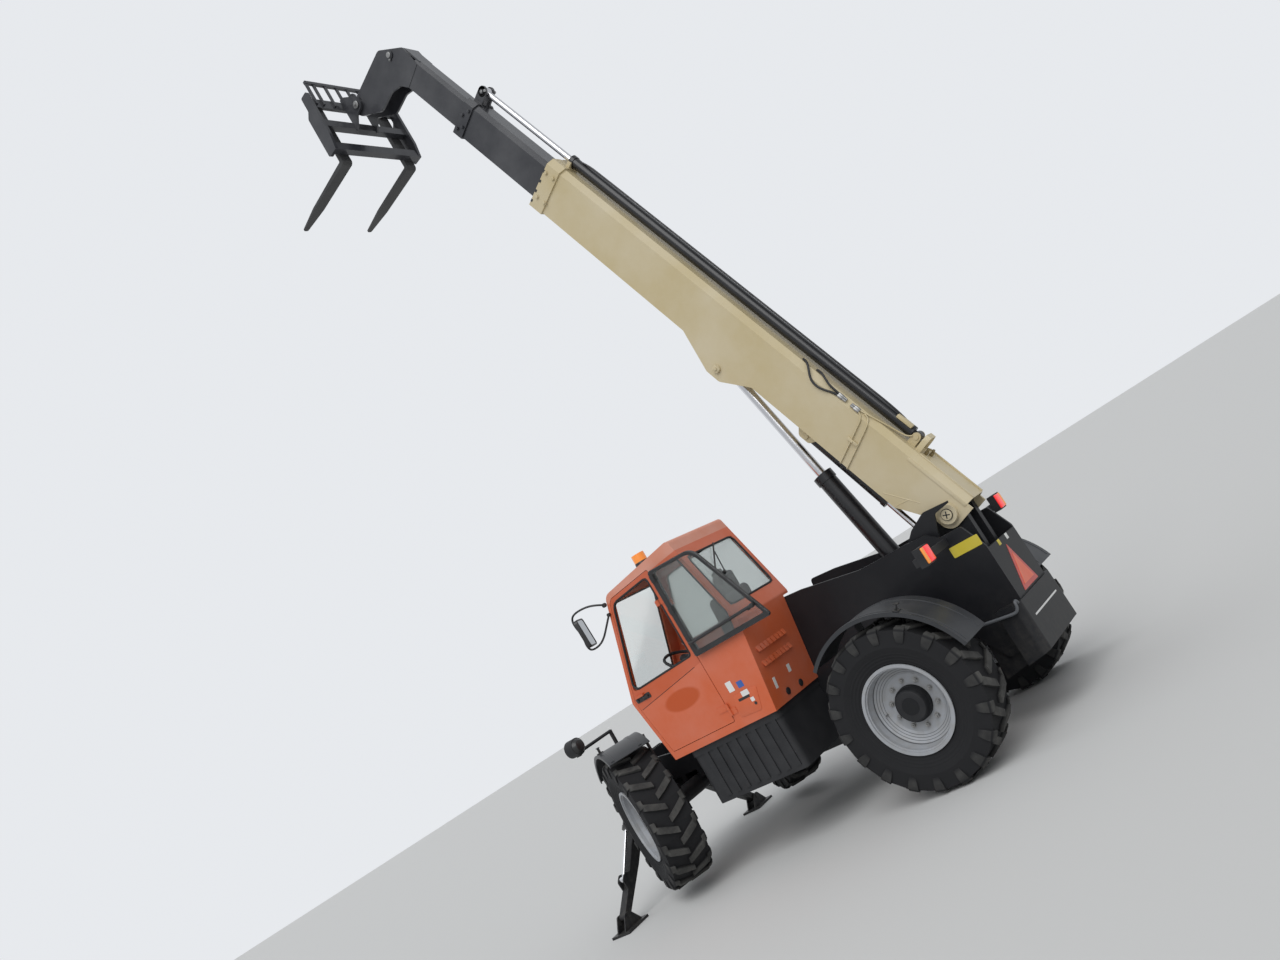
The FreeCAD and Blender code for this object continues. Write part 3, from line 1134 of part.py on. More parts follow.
def level_nodes():
    front_axle = axle()
    front_axle.translate(Vector(WHEELBASE, 0, 0))
    return {
        "chassis_frame": chassis_frame(), "nose": nose(), "counterweight": counterweight(), "front_axle": front_axle,
        "rear_axle": axle(), "fuel_tank": fuel_tank(), "engine_pod": engine_pod(), "engine_block": engine_block(), "hood": hood(),
        "cab_lower": fuse([cab_lower(), cab_hinges()[0]]), "cab_frame": fuse([cab_frame(), cab_hinges()[1]]),
        "cab_roof": cab_roof(), "cab_glass": cab_glass(),
        "cab_door": cab_door(), "upper_door_window": upper_door_window(), "driver_seat": driver_seat(),
        "steering_console": steering_console(), "mirror": mirror(), "beacon": beacon(), "tail_lamps": tail_lamps(),
        "headlamps": headlamps(), "boom_base": boom_base(), "boom_mid": boom_mid(), "boom_tip": boom_tip(),
        "telescope_barrel": telescope_barrel(), "telescope_rod": telescope_rod(), "lift_barrel": lift_barrel(),
        "lift_rod": lift_rod(), "level_barrel": level_barrel(), "level_rod": level_rod(), "tilt_barrel": tilt_barrel(),
        "tilt_rod": tilt_rod(), "carriage": carriage(), "fork_left": fork(1), "fork_right": fork(-1), **corner_nodes(),
    }


def all_nodes():
    nodes = {name: stand(shape) for name, shape in level_nodes().items()}
    nodes.update(stabiliser_nodes())
    return nodes


def middle_x(nodes):
    """The middle of the machine's length, which becomes x = 0."""
    boxes = [shape.optimalBoundingBox(False, False) for shape in nodes.values()]
    return (min(b.XMin for b in boxes) + max(b.XMax for b in boxes)) / 2


def main():
    os.makedirs("parts", exist_ok=True)
    nodes = all_nodes()
    shift = Vector(-middle_x(nodes), 0, 0)
    for name, shape in nodes.items():
        placed = shape.copy()
        placed.translate(shift)
        placed.exportStep("parts/" + name + ".step")
        print(name, len(placed.Solids), placed.isValid())
    print("shift", round(shift.x, 4))


if __name__ == "__main__":
    main()
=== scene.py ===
import json
import math

import bmesh
import bpy
from mathutils import Matrix, Vector


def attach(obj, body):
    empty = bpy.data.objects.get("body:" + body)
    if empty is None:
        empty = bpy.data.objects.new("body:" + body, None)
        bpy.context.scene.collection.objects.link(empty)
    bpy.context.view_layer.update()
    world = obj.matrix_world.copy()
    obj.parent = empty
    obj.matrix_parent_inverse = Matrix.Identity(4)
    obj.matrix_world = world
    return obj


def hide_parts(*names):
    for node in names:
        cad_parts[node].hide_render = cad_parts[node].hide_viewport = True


bl_info = {
    "name": "Telescopic Handler Trim",
    "version": (1, 0, 0),
    "blender": (4, 5, 0),
    "location": "3D Viewport > Sidebar > Handler",
    "description": "Paints the handler's solids and adds its seals, lamps, nuts, bolts, pipes and blank plates",
    "category": "Object",
}

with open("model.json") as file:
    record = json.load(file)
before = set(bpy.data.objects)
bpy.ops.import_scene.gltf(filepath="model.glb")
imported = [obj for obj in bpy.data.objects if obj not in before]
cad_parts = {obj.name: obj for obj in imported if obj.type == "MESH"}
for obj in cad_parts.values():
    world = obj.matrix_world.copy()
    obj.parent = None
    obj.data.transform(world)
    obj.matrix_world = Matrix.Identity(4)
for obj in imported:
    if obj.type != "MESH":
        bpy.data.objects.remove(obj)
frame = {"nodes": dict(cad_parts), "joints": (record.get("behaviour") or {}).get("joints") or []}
NODES = frame["nodes"]
JOINTS = {joint["name"]: joint for joint in frame["joints"]}
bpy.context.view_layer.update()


# Places: the level machine, the boom, the wheels and the fenders, each as a matrix into the shared frame

AHEAD = Vector((1.0, 0.0, 0.0))
ACROSS = Vector((0.0, 1.0, 0.0))
ABOVE = Vector((0.0, 0.0, 1.0))
SIDES = (1, -1)
CORNERS = ("front_left", "front_right", "rear_left", "rear_right")


def spot(joint):
    return Vector(JOINTS[joint]["pos_m"])


def aim(joint):
    return Vector(JOINTS[joint]["axis"])


def axes(origin, x, y, z):
    return Matrix.Translation(origin) @ Matrix((x, y, z)).transposed().to_4x4()


UPRIGHT = aim("door").normalized()
REAR_AXLE = spot("steer_rear_left")
LEVEL = axes(Vector((REAR_AXLE.x, 0.0, REAR_AXLE.z)) - UPRIGHT * REAR_AXLE.z, ACROSS.cross(UPRIGHT), ACROSS, UPRIGHT)
ALONG_BOOM = aim("telescope_mid").normalized()
BOOM = axes(spot("boom_lift"), ALONG_BOOM, ACROSS, ALONG_BOOM.cross(ACROSS))


def wheel_frame(corner, joint="spin_"):
    """Its y runs out of the machine along the axle."""
    out = aim("spin_" + corner) * (1 if corner.endswith("left") else -1)
    return axes(spot(joint + corner), out.cross(UPRIGHT), out, UPRIGHT)


def wall_frame(foot, head, outward):
    """A frame on a slanted wall of the cab: x across the machine, y up the wall, z out of it."""
    foot, head = (Vector((x, 0.0, z)) for x, z in (foot, head))
    up = (head - foot).normalized()
    way = math.copysign(1.0, ACROSS.cross(up).x * outward)
    return LEVEL @ axes(foot, ACROSS * way, up, ACROSS.cross(up) * way)


def side_wall(y, side=1):
    """A frame on an upright wall along the machine at y: x back on the left, forward on the right, y up, z out."""
    return axes(ACROSS * y, AHEAD * -side, ABOVE, ACROSS * side)


def rear_wall(x):
    """A frame on an upright wall behind the machine at x: x to the right, y up, z out."""
    return axes(AHEAD * x, -ACROSS, ABOVE, -AHEAD)


def on_left(points):
    """Points drawn forward and up, for a wall whose x runs back."""
    return [(-x, z) for x, z in points]


WINDSCREEN_WALL = wall_frame((2.308, 1.590), (1.965, 2.500), 1)
REAR_UPPER_WALL = wall_frame((0.885, 1.760), (1.100, 2.592), -1)
REAR_LOWER_WALL = wall_frame((1.015, 1.009), (0.885, 1.760), -1)


# What a user would change

COLOUR = {"subtype": "COLOR", "size": 3, "min": 0.0, "max": 1.0}
LENGTH = {"subtype": "DISTANCE", "unit": "LENGTH"}


class HandlerColours(bpy.types.PropertyGroup):
    """Colours of the paints and trims."""
    cab: bpy.props.FloatVectorProperty(
        name="Cab", description="Paint of the cab, door and engine hood", default=(0.62, 0.118, 0.036), **COLOUR)
    roof: bpy.props.FloatVectorProperty(
        name="Roof", description="Sun-bleached paint of the roof", default=(0.64, 0.215, 0.122), **COLOUR)
    boom: bpy.props.FloatVectorProperty(
        name="Boom", description="Paint of the base boom", default=(0.55, 0.455, 0.262), **COLOUR)
    inner_boom: bpy.props.FloatVectorProperty(
        name="Inner boom", description="Paint of the sliding boom sections", default=(0.024, 0.025, 0.031), **COLOUR)
    chassis: bpy.props.FloatVectorProperty(
        name="Chassis", description="Paint of the chassis and legs", default=(0.0075, 0.008, 0.0105), **COLOUR)
    rim: bpy.props.FloatVectorProperty(
        name="Rim", description="Paint of the rims", default=(0.37, 0.385, 0.41), **COLOUR)


class HandlerTrim(bpy.types.PropertyGroup):
    """Sizes of the trim."""
    wheel_nuts: bpy.props.IntProperty(
        name="Wheel nuts", description="Nuts on each wheel", default=10, min=5, max=20)
    nut_circle: bpy.props.FloatProperty(
        name="Nut circle", description="Radius of the circle of wheel nuts", default=0.176, min=0.14, max=0.2,
        **LENGTH)
    seal_width: bpy.props.FloatProperty(
        name="Seal width", description="Width of the rubber round each window", default=0.017, min=0.01, max=0.04,
        **LENGTH)
    pipe_radius: bpy.props.FloatProperty(
        name="Pipe radius", description="Radius of the hydraulic pipes", default=0.010, min=0.005, max=0.02,
        **LENGTH)
    bolt_radius: bpy.props.FloatProperty(
        name="Bolt radius", description="Radius across the corners of the wear pads' bolts", default=0.015,
        min=0.006, max=0.03, **LENGTH)


def colours():
    return bpy.context.scene.handler_colours


def trim():
    return bpy.context.scene.handler_trim


# Nodes of the materials

def feed(tree, node, **links):
    """Fills inputs, named with _ for a space or numbered as i0, with sockets or values."""
    for key, value in links.items():
        name = int(key[1:]) if key[0] == "i" and key[1:].isdigit() else key.replace("_", " ")
        if isinstance(value, bpy.types.NodeSocket):
            tree.links.new(value, node.inputs[name])
        else:
            node.inputs[name].default_value = value
    return node


def put(tree, kind, settings=(), **links):
    """A new node with its settings and inputs."""
    node = tree.nodes.new("ShaderNode" + kind)
    for name, value in dict(settings).items():
        setattr(node, name, value)
    return feed(tree, node, **links)


def numbered(values):
    return {f"i{k}": value for k, value in enumerate(values)}


def calc(tree, operation, *values, clamp=False):
    return put(tree, "Math", {"operation": operation, "use_clamp": clamp}, **numbered(values)).outputs[0]


def vector_calc(tree, operation, *values):
    node = put(tree, "VectorMath", {"operation": operation}, **numbered(values))
    return node.outputs["Value" if operation in ("LENGTH", "DOT_PRODUCT") else "Vector"]


def remap(tree, value, low, high, first=0.0, last=1.0, smooth=False):
    """First at low, last at high, and held beyond them."""
    return put(tree, "MapRange", {"interpolation_type": "SMOOTHSTEP" if smooth else "LINEAR"}, Value=value,
               From_Min=low, From_Max=high, To_Min=first, To_Max=last).outputs[0]


def smooth_mask(tree, value, edge, blur):
    """1 below the edge, 0 above it."""
    return remap(tree, value, edge - blur, edge + blur, 1.0, 0.0, smooth=True)


def noise(tree, vector, scale, detail, roughness=0.5):
    return put(tree, "TexNoise", Vector=vector, Scale=scale, Detail=detail, Roughness=roughness).outputs[0]


def blend_colour(tree, mask, first, second):
    return put(tree, "Mix", {"data_type": "RGBA"}, i0=mask, i6=first, i7=second).outputs[2]


def bump(tree, shader, height, strength, distance=0.002):
    feed(tree, shader, Normal=put(tree, "Bump", Strength=strength, Distance=distance, Height=height).outputs[0])


def four(colour):
    return (*colour, 1.0)


def lighter(colour, amount):
    return tuple(c + (1.0 - c) * amount for c in colour)


# Node groups

DUST = (0.30, 0.27, 0.22, 1.0)


def group_tree(name, inputs, outputs):
    tree = bpy.data.node_groups.new(name, "ShaderNodeTree")
    for socket, kind, value in inputs:
        made = tree.interface.new_socket(socket, in_out="INPUT", socket_type="NodeSocket" + kind)
        if value is not None:
            made.default_value = value
    for socket, kind in outputs:
        tree.interface.new_socket(socket, in_out="OUTPUT", socket_type="NodeSocket" + kind)
    return tree, tree.nodes.new("NodeGroupInput").outputs, tree.nodes.new("NodeGroupOutput")


def weathering_group(name):
    """Paint that fades in clouds and takes dust from the ground and on its upward faces."""
    tree, given, result = group_tree(
        name,
        [("Vector", "Vector", None), ("Clean", "Color", None), ("Faded", "Color", None), ("Fade", "Float", 0.5),
         ("Dust", "Float", 0.3), ("Gloss", "Float", 0.4), ("Ground", "Float", 1.6)],
        [("Color", "Color"), ("Roughness", "Float"), ("Height", "Float")])
    vector = given["Vector"]
    clouds = noise(tree, vector, scale=1.7, detail=5.0, roughness=0.6)
    specks = noise(tree, vector, scale=23.0, detail=6.0, roughness=0.7)
    upright = put(tree, "Mapping", Vector=vector, Scale=(9.0, 9.0, 1.1)).outputs[0]
    streaks = noise(tree, upright, scale=2.6, detail=4.0)
    fade = calc(tree, "MULTIPLY", remap(tree, clouds, 0.36, 0.68), given["Fade"])
    height = put(tree, "SeparateXYZ", Vector=vector).outputs[2]
    facing = put(tree, "SeparateXYZ", Vector=put(tree, "NewGeometry").outputs["Normal"]).outputs[2]
    low = remap(tree, height, 0.0, given["Ground"], 1.0, 0.0)
    grime = calc(tree, "ADD", low, remap(tree, facing, 0.35, 1.0, 0.0, 0.5))
    patch = calc(tree, "MULTIPLY", remap(tree, specks, 0.36, 0.7), remap(tree, streaks, 0.4, 0.75, 0.35, 1.0))
    grime = calc(tree, "MULTIPLY", calc(tree, "MULTIPLY", grime, patch), given["Dust"], clamp=True)
    coloured = blend_colour(tree, fade, given["Clean"], given["Faded"])
    rough = calc(tree, "MULTIPLY_ADD", grime, 0.45, given["Gloss"])
    feed(tree, result, Color=blend_colour(tree, grime, coloured, DUST),
         Roughness=calc(tree, "MULTIPLY_ADD", clouds, 0.14, rough, clamp=True), Height=specks)
    return tree


def wheel_rings_group(name):
    """Distance from a wheel's axle and along it."""
    tree, given, result = group_tree(
        name, [("Vector", "Vector", None), ("Centre", "Vector", None), ("Axle", "Vector", None)],
        [("Radius", "Float"), ("Across", "Float")])
    away = vector_calc(tree, "SUBTRACT", given["Vector"], given["Centre"])
    square = vector_calc(tree, "CROSS_PRODUCT", away, given["Axle"])
    feed(tree, result, Radius=vector_calc(tree, "LENGTH", square),
         Across=vector_calc(tree, "DOT_PRODUCT", away, given["Axle"]))
    return tree


def grain_group(name):
    """A fine moulded or woven grain as a height, and soft clouds as a mask."""
    tree, given, result = group_tree(
        name, [("Vector", "Vector", None), ("Scale", "Float", 200.0)], [("Height", "Float"), ("Mask", "Float")])
    cells = put(tree, "TexVoronoi", Vector=given["Vector"], Scale=given["Scale"])
    feed(tree, result, Height=cells.outputs["Distance"], Mask=noise(tree, given["Vector"], scale=6.0, detail=3.0))
    return tree


GROUPS = {"Weathering": weathering_group, "Wheel rings": wheel_rings_group, "Fine grain": grain_group}


def place_group(tree, name, **links):
    node = tree.nodes.new("ShaderNodeGroup")
    node.node_tree = bpy.data.node_groups.get(name) or GROUPS[name](name)
    return feed(tree, node, **links)


def wheel_rings(tree, where, corner):
    axle = "spin_" + corner
    rings = place_group(tree, "Wheel rings", Vector=where, Centre=spot(axle), Axle=aim(axle))
    return rings.outputs["Radius"], rings.outputs["Across"]


# Materials

def start_material(name, roughness=0.5, metallic=0.0, coat=0.0, specular=0.5):
    material = bpy.data.materials.new(name)
    material.use_nodes = True
    tree = material.node_tree
    shader = feed(tree, tree.nodes["Principled BSDF"], Roughness=roughness, Metallic=metallic, Coat_Weight=coat,
                  Specular_IOR_Level=specular)
    return material, tree, shader, tree.nodes.new("ShaderNodeTexCoord").outputs["Object"]


def paint(name, colour, gloss=0.32, fade=0.5, dust=0.35, coat=0.25, ground=1.6, bleach=0.18, grain=0.03,
          specular=0.5):
    """Weathered paint, with what a special one goes on from."""
    material, tree, shader, where = start_material(name, coat=coat, specular=specular)
    wear = place_group(
        tree, "Weathering", Vector=where, Clean=four(colour), Faded=four(lighter(colour, bleach)), Fade=fade,
        Dust=dust, Gloss=gloss, Ground=ground).outputs
    feed(tree, shader, Base_Color=wear["Color"], Roughness=wear["Roughness"])
    bump(tree, shader, wear["Height"], grain)
    return material, tree, shader, where, wear


CAB_FINISH = {"fade": 0.55, "dust": 0.25, "coat": 0.15, "bleach": 0.11, "specular": 0.4}
PATCH_CENTRE = (1.79, 1.1, 1.425)
PATCH_SIZE = (0.20, 1.0, 0.085)
CREASE_FOOT = (2.289, 1.498)
CREASE_HEAD = (1.468, 1.612)
# Shares of the cab colour: the first darkens the band above the crease into painted shade, the second is for the
# unfaded patch.
SHADED, UNFADED = (0.72, 0.58, 0.55), (0.80, 0.60, 0.16)


def door_paint():
    """Cab paint with the unfaded patch and a band of painted shade between the crease and the door's window."""
    cab = colours().cab
    material, tree, shader, where, wear = paint("Door paint", cab, **CAB_FINISH)
    local = put(tree, "Mapping", {"vector_type": "TEXTURE"}, Vector=where, Location=LEVEL.to_translation(),
                Rotation=LEVEL.to_euler()).outputs[0]
    away = vector_calc(tree, "DIVIDE", vector_calc(tree, "SUBTRACT", local, PATCH_CENTRE), PATCH_SIZE)
    patch = smooth_mask(tree, vector_calc(tree, "LENGTH", away), 1.0, 0.12)
    slope = (CREASE_HEAD[1] - CREASE_FOOT[1]) / (CREASE_HEAD[0] - CREASE_FOOT[0])
    crease = CREASE_FOOT[1] - slope * CREASE_FOOT[0]
    parts = put(tree, "SeparateXYZ", Vector=local).outputs
    line = calc(tree, "MULTIPLY_ADD", parts[0], -slope, parts[2])
    # Painted shade: above the crease line the paint darkens, standing in for the shade that the moulded crease casts on
    # the band.
    painted_crease_shade = remap(tree, line, crease - 0.004, crease + 0.004, 0.0, 0.35, smooth=True)
    shaded, unfaded = (four([c * share for c, share in zip(cab, shares)]) for shares in (SHADED, UNFADED))
    colour = blend_colour(tree, painted_crease_shade, wear["Color"], shaded)
    feed(tree, shader, Base_Color=blend_colour(tree, calc(tree, "MULTIPLY", patch, 0.85), colour, unfaded))
    return material


def plain(name, colour, roughness=0.5, metallic=0.0, coat=0.0, grain=90.0, variation=0.2, strength=0.08):
    """A part colour that is only a little uneven, with a fine grain."""
    material, tree, shader, where = start_material(name, roughness, metallic, coat)
    fine = place_group(tree, "Fine grain", Vector=where, Scale=grain).outputs
    mask = remap(tree, fine["Mask"], 0.3, 0.7, 0.0, variation)
    pale = four(lighter(colour, 0.06 + 0.2 * max(colour)))
    feed(tree, shader, Base_Color=blend_colour(tree, mask, four(colour), pale))
    bump(tree, shader, fine["Height"], strength, 0.0008)
    return material


RUBBER, RUBBER_DUST = (0.0135, 0.0138, 0.0155, 1.0), (0.100, 0.098, 0.092, 1.0)
BAR_WEAR = (0.594, 0.612)
SHOULDER_WEAR = (0.2003, 0.2055)
SIDEWALL_EDGE = (0.42, 0.44)


def rubber(corner):
    """Tyre rubber: dusty between the bars, worn grey on them, with rings on the sidewall."""
    material, tree, shader, where = start_material("Tyre rubber " + corner.replace("_", " "), 0.85, specular=0.3)
    radius, across = wheel_rings(tree, where, corner)
    clouds = noise(tree, where, scale=7.0, detail=6.0, roughness=0.65)
    dusty = remap(tree, clouds, 0.28, 0.70, 0.15, 0.9)
    worn = remap(tree, radius, *BAR_WEAR, smooth=True)
    proud = remap(tree, calc(tree, "ABSOLUTE", across), *SHOULDER_WEAR, 0.0, 0.5, smooth=True)
    mask = calc(tree, "MULTIPLY", calc(tree, "MAXIMUM", worn, proud), dusty)
    dust = calc(tree, "MULTIPLY_ADD", dusty, 0.04, mask, clamp=True)
    feed(tree, shader, Base_Color=blend_colour(tree, dust, RUBBER, RUBBER_DUST))
    wave = calc(tree, "SINE", calc(tree, "MULTIPLY", radius, 260.0))
    rings = calc(tree, "MULTIPLY", wave, remap(tree, radius, *SIDEWALL_EDGE, 1.0, 0.0, smooth=True))
    bump(tree, shader, calc(tree, "MULTIPLY_ADD", clouds, 0.5, rings), 0.35, 0.003)
    return material


# The second colour is painted shade for the rim's grooves; the brake dust and the black hub are real colours.
BRAKE_DUST, GROOVE_SHADE, HUB_BLACK = (0.30, 0.29, 0.27, 1.0), (0.035, 0.037, 0.042, 1.0), (0.009, 0.0095, 0.011, 1.0)
HUB_EDGE = 0.1345
GROOVE_START, GROOVE_PITCH, GROOVE_END = 0.238, 0.0175, 0.300


def rim_metal(corner):
    """Silver rim paint with painted shade in its grooves and a black hub, dulled by brake dust."""
    material, tree, shader, where = start_material("Rim paint " + corner.replace("_", " "), 0.52, specular=0.3)
    radius, _ = wheel_rings(tree, where, corner)
    clouds = noise(tree, where, scale=14.0, detail=5.0, roughness=0.6)
    silver = blend_colour(tree, remap(tree, clouds, 0.38, 0.72, 0.0, 0.55), four(colours().rim), BRAKE_DUST)
    turns = calc(tree, "MULTIPLY_ADD", radius, 1 / GROOVE_PITCH, -GROOVE_START / GROOVE_PITCH)
    groove = smooth_mask(tree, calc(tree, "PINGPONG", turns, 0.5), 0.085, 0.05)
    for edge, keep in ((GROOVE_START - GROOVE_PITCH / 2, 0.0), (GROOVE_END, 1.0)):
        groove = calc(tree, "MULTIPLY", groove, remap(tree, radius, edge - 0.001, edge + 0.001, keep, 1.0 - keep))
    # Painted shade: each groove's ring is darkened nearly to black.
    silver = blend_colour(tree, calc(tree, "MULTIPLY", groove, 0.72), silver, GROOVE_SHADE)
    hub = smooth_mask(tree, radius, HUB_EDGE, 0.0015)
    feed(tree, shader, Base_Color=blend_colour(tree, hub, silver, HUB_BLACK),
         Metallic=calc(tree, "MULTIPLY_ADD", hub, -0.12, 0.12))
    height = calc(tree, "MULTIPLY_ADD", clouds, 0.15, calc(tree, "MULTIPLY", groove, -1.0))
    bump(tree, shader, height, 0.6, 0.003)
    return material


def glass(name, tint, roughness=0.02):
    material, tree, shader, where = start_material(name, roughness)
    haze = remap(tree, noise(tree, where, scale=3.0, detail=5.0), 0.4, 0.75, roughness, roughness + 0.06)
    feed(tree, shader, Roughness=haze, Base_Color=four(tint), Transmission_Weight=0.95, IOR=1.45)
    return material


def lens(name, colour, glow=0.0):
    """Ribbed coloured plastic."""
    material, tree, shader, where = start_material(name, 0.12, coat=0.6)
    ribs = put(tree, "TexWave", {"bands_direction": "Z"}, Vector=where, Scale=60.0).outputs["Fac"]
    mask = remap(tree, ribs, 0.0, 1.0, 0.0, 0.4)
    feed(tree, shader, Base_Color=blend_colour(tree, mask, four(colour), four(lighter(colour, 0.2))))
    if glow:
        feed(tree, shader, Emission_Color=four(colour), Emission_Strength=glow)
    bump(tree, shader, ribs, 0.3, 0.001)
    return material


def chrome():
    material, tree, shader, where = start_material("Rod chrome", 0.12, metallic=1.0)
    fine = place_group(tree, "Fine grain", Vector=where, Scale=160.0)
    feed(tree, shader, Roughness=remap(tree, fine.outputs["Mask"], 0.3, 0.7, 0.13, 0.25),
         Base_Color=(0.78, 0.78, 0.80, 1.0))
    return material


MATERIALS = {}


def make_materials():
    c = colours()
    MATERIALS.update({
        "cab": paint("Cab paint", c.cab, **CAB_FINISH)[0],
        "door": door_paint(),
        "roof": paint("Roof paint", c.roof, gloss=0.42, fade=0.8, dust=0.5, coat=0.1)[0],
        "boom": paint("Boom paint", c.boom, gloss=0.34, dust=0.12, bleach=0.25, grain=0.012)[0],
        "inner_boom": paint("Inner boom paint", c.inner_boom, gloss=0.24, fade=0.7, dust=0.16, coat=0.35,
                            bleach=0.06)[0],
        "chassis": paint("Chassis paint", c.chassis, gloss=0.40, fade=0.4, dust=0.18, coat=0.06, ground=1.1,
                         bleach=0.02, specular=0.32)[0],
        "barrel": paint("Cylinder paint", (0.008, 0.008, 0.010), gloss=0.25, fade=0.3, dust=0.15, bleach=0.02)[0],
        "forks": paint("Fork paint", (0.016, 0.016, 0.017), gloss=0.5, fade=0.6, dust=0.6, bleach=0.05)[0],
        "moulding": plain("Moulded plastic", (0.012, 0.0125, 0.015), 0.62, grain=240.0, strength=0.2),
        "fender": plain("Fender plastic", (0.024, 0.026, 0.030), 0.42, coat=0.05, grain=150.0),
        "seal": plain("Window rubber", (0.012, 0.012, 0.013), 0.6, grain=300.0),
        "black": plain("Black trim", (0.014, 0.014, 0.015), 0.4, coat=0.2),
        "steel": plain("Zinc plate", (0.34, 0.34, 0.335), 0.4, metallic=0.8, grain=320.0),
        "pipe": plain("Hydraulic hose", (0.016, 0.016, 0.017), 0.5, grain=420.0, strength=0.3),
        "grey_pipe": plain("Grey pipe paint", (0.085, 0.09, 0.10), 0.45),
        "cloth": plain("Chair cloth", (0.045, 0.046, 0.052), 0.92, grain=520.0, strength=0.5),
        "iron": plain("Engine iron", (0.10, 0.10, 0.10), 0.7, metallic=0.4, grain=120.0, strength=0.4),
        "yellow": plain("Yellow plate", (0.62, 0.50, 0.035), 0.45),
        "white": plain("White film", (0.74, 0.74, 0.72), 0.5),
        "blue": plain("Blue film", (0.035, 0.12, 0.42), 0.5),
        "orange_film": plain("Orange reflector", (0.80, 0.115, 0.035), 0.35, coat=0.3),
        "red_film": plain("Red reflector", (0.56, 0.045, 0.028), 0.35, coat=0.3),
        "red_lens": lens("Red lens", (0.80, 0.02, 0.02), 0.6),
        "amber_lens": lens("Amber lens", (0.95, 0.30, 0.02), 0.15),
        "clear_lens": lens("Clear lens", (0.75, 0.76, 0.76)),
        "brass": plain("Brass fittings", (0.27, 0.215, 0.11), 0.42, metallic=0.7, grain=320.0),
        "hub": plain("Hub cap", (0.0095, 0.010, 0.012), 0.7, grain=240.0),
        "silver": plain("Mirror silver", (0.70, 0.72, 0.74), 0.06, metallic=1.0, grain=40.0, strength=0.0),
        "glass": glass("Window glass", (0.74, 0.77, 0.755)),
        "chrome": chrome(),
    })


NODE_FINISH = {
    "chassis": ("chassis_frame", "nose", "counterweight", "front_axle", "rear_axle", "leg_left", "leg_right",
                "engine_pod", *("knuckle_" + corner for corner in CORNERS)),
    "barrel": ("telescope_barrel", "lift_barrel", "level_barrel", "tilt_barrel", "leg_barrel_left", "leg_barrel_right"),
    "chrome": ("telescope_rod", "lift_rod", "level_rod", "tilt_rod", "leg_rod_left", "leg_rod_right"),
    "boom": ("boom_base",),
    "inner_boom": ("boom_mid", "boom_tip", "carriage"),
    "forks": ("fork_left", "fork_right"),
    "cab": ("cab_lower", "cab_frame", "hood"),
    "roof": ("cab_roof",),
    "door": ("cab_door",),
    "moulding": ("fuel_tank", "steering_console", "mirror", "headlamps", "tail_lamps"),
    "fender": ["fender_" + corner for corner in CORNERS],
    "glass": ("cab_glass", "upper_door_window"),
    "cloth": ("driver_seat",),
    "iron": ("engine_block",),
    "amber_lens": ("beacon",),
}


def paint_node(name, material):
    node = NODES[name]
    if not node.material_slots:
        node.data.materials.append(material)
    for slot in node.material_slots:
        slot.material = material


# Shapes, each added to a mesh that is being built in its own place's frame

def edges_of(verts):
    return list({edge for vert in verts for edge in vert.link_edges})


def soften(bm, edges, offset, segments=2):
    if offset:
        bmesh.ops.bevel(bm, geom=list(edges), offset=offset, offset_type="OFFSET", segments=segments, profile=0.5,
                        affect="EDGES", clamp_overlap=True, material=-1)


def block(bm, corner, opposite, bevel=0.003, turn=None, segments=2):
    low, high = (Vector(map(pick, corner, opposite)) for pick in (min, max))
    verts = bmesh.ops.create_cube(bm, size=1.0)["verts"]
    bmesh.ops.scale(bm, vec=high - low, verts=verts)
    bmesh.ops.translate(bm, vec=(low + high) / 2, verts=verts)
    if turn is not None:
        bmesh.ops.transform(bm, matrix=turn, verts=verts)
    soften(bm, edges_of(verts), bevel, segments)


def standing(start, direction):
    """A frame at start whose z runs along direction."""
    return Matrix.Translation(start) @ ABOVE.rotation_difference(Vector(direction)).to_matrix().to_4x4()


def drum(bm, start, direction, radius, length, top=None, sides=32, bevel=0.0):
    """A round or many-sided solid from start along direction."""
    middle = standing(Vector(start), direction) @ Matrix.Translation((0, 0, length / 2))
    verts = bmesh.ops.create_cone(
        bm, cap_ends=True, cap_tris=False, segments=sides, radius1=radius, radius2=radius if top is None else top,
        depth=length, matrix=middle)["verts"]
    caps = [face for face in {f for v in verts for f in v.link_faces} if len(face.verts) == sides]
    soften(bm, {edge for cap in caps for edge in cap.edges}, bevel)


def raise_faces(bm, faces, vector):
    made = bmesh.ops.extrude_face_region(bm, geom=list(faces))
    verts = [item for item in made["geom"] if isinstance(item, bmesh.types.BMVert)]
    bmesh.ops.translate(bm, vec=vector, verts=verts)
    return verts


def plate(bm, outline, place, thickness, corner=0.0, bevel=0.0):
    """A plate with rounded corners on a frame's x, y plane, standing up its z."""
    verts = [bm.verts.new(place @ Vector((x, y, 0.0))) for x, y in outline]
    face = bm.faces.new(verts)
    if corner:
        made = bmesh.ops.bevel(bm, geom=verts, offset=corner, offset_type="OFFSET", segments=4, profile=0.5,
                               affect="VERTICES", clamp_overlap=True, material=-1)
        face = made["verts"][0].link_faces[0]
    top = raise_faces(bm, [face], place.to_3x3() @ Vector((0, 0, thickness)))
    soften(bm, [edge for edge in edges_of(top) if all(v in top for v in edge.verts)], bevel)


def inset(outline, widths):
    """The outline after each edge moves inward by its own width; the first edge leaves the first corner."""
    corners = [Vector(point) for point in outline]
    ahead = corners[1:] + corners[:1]
    turn = math.copysign(1.0, sum(a.x * b.y - a.y * b.x for a, b in zip(corners, ahead)))
    lines = []
    for corner, following, width in zip(corners, ahead, widths):
        along = (following - corner).normalized()
        lines.append((corner + Vector((-along.y, along.x)) * turn * width, along))
    made = []
    for (p, d), (q, e) in zip(lines[-1:] + lines[:-1], lines):
        gap = q - p
        made.append(p + d * ((gap.x * e.y - gap.y * e.x) / (d.x * e.y - d.y * e.x)))
    return made


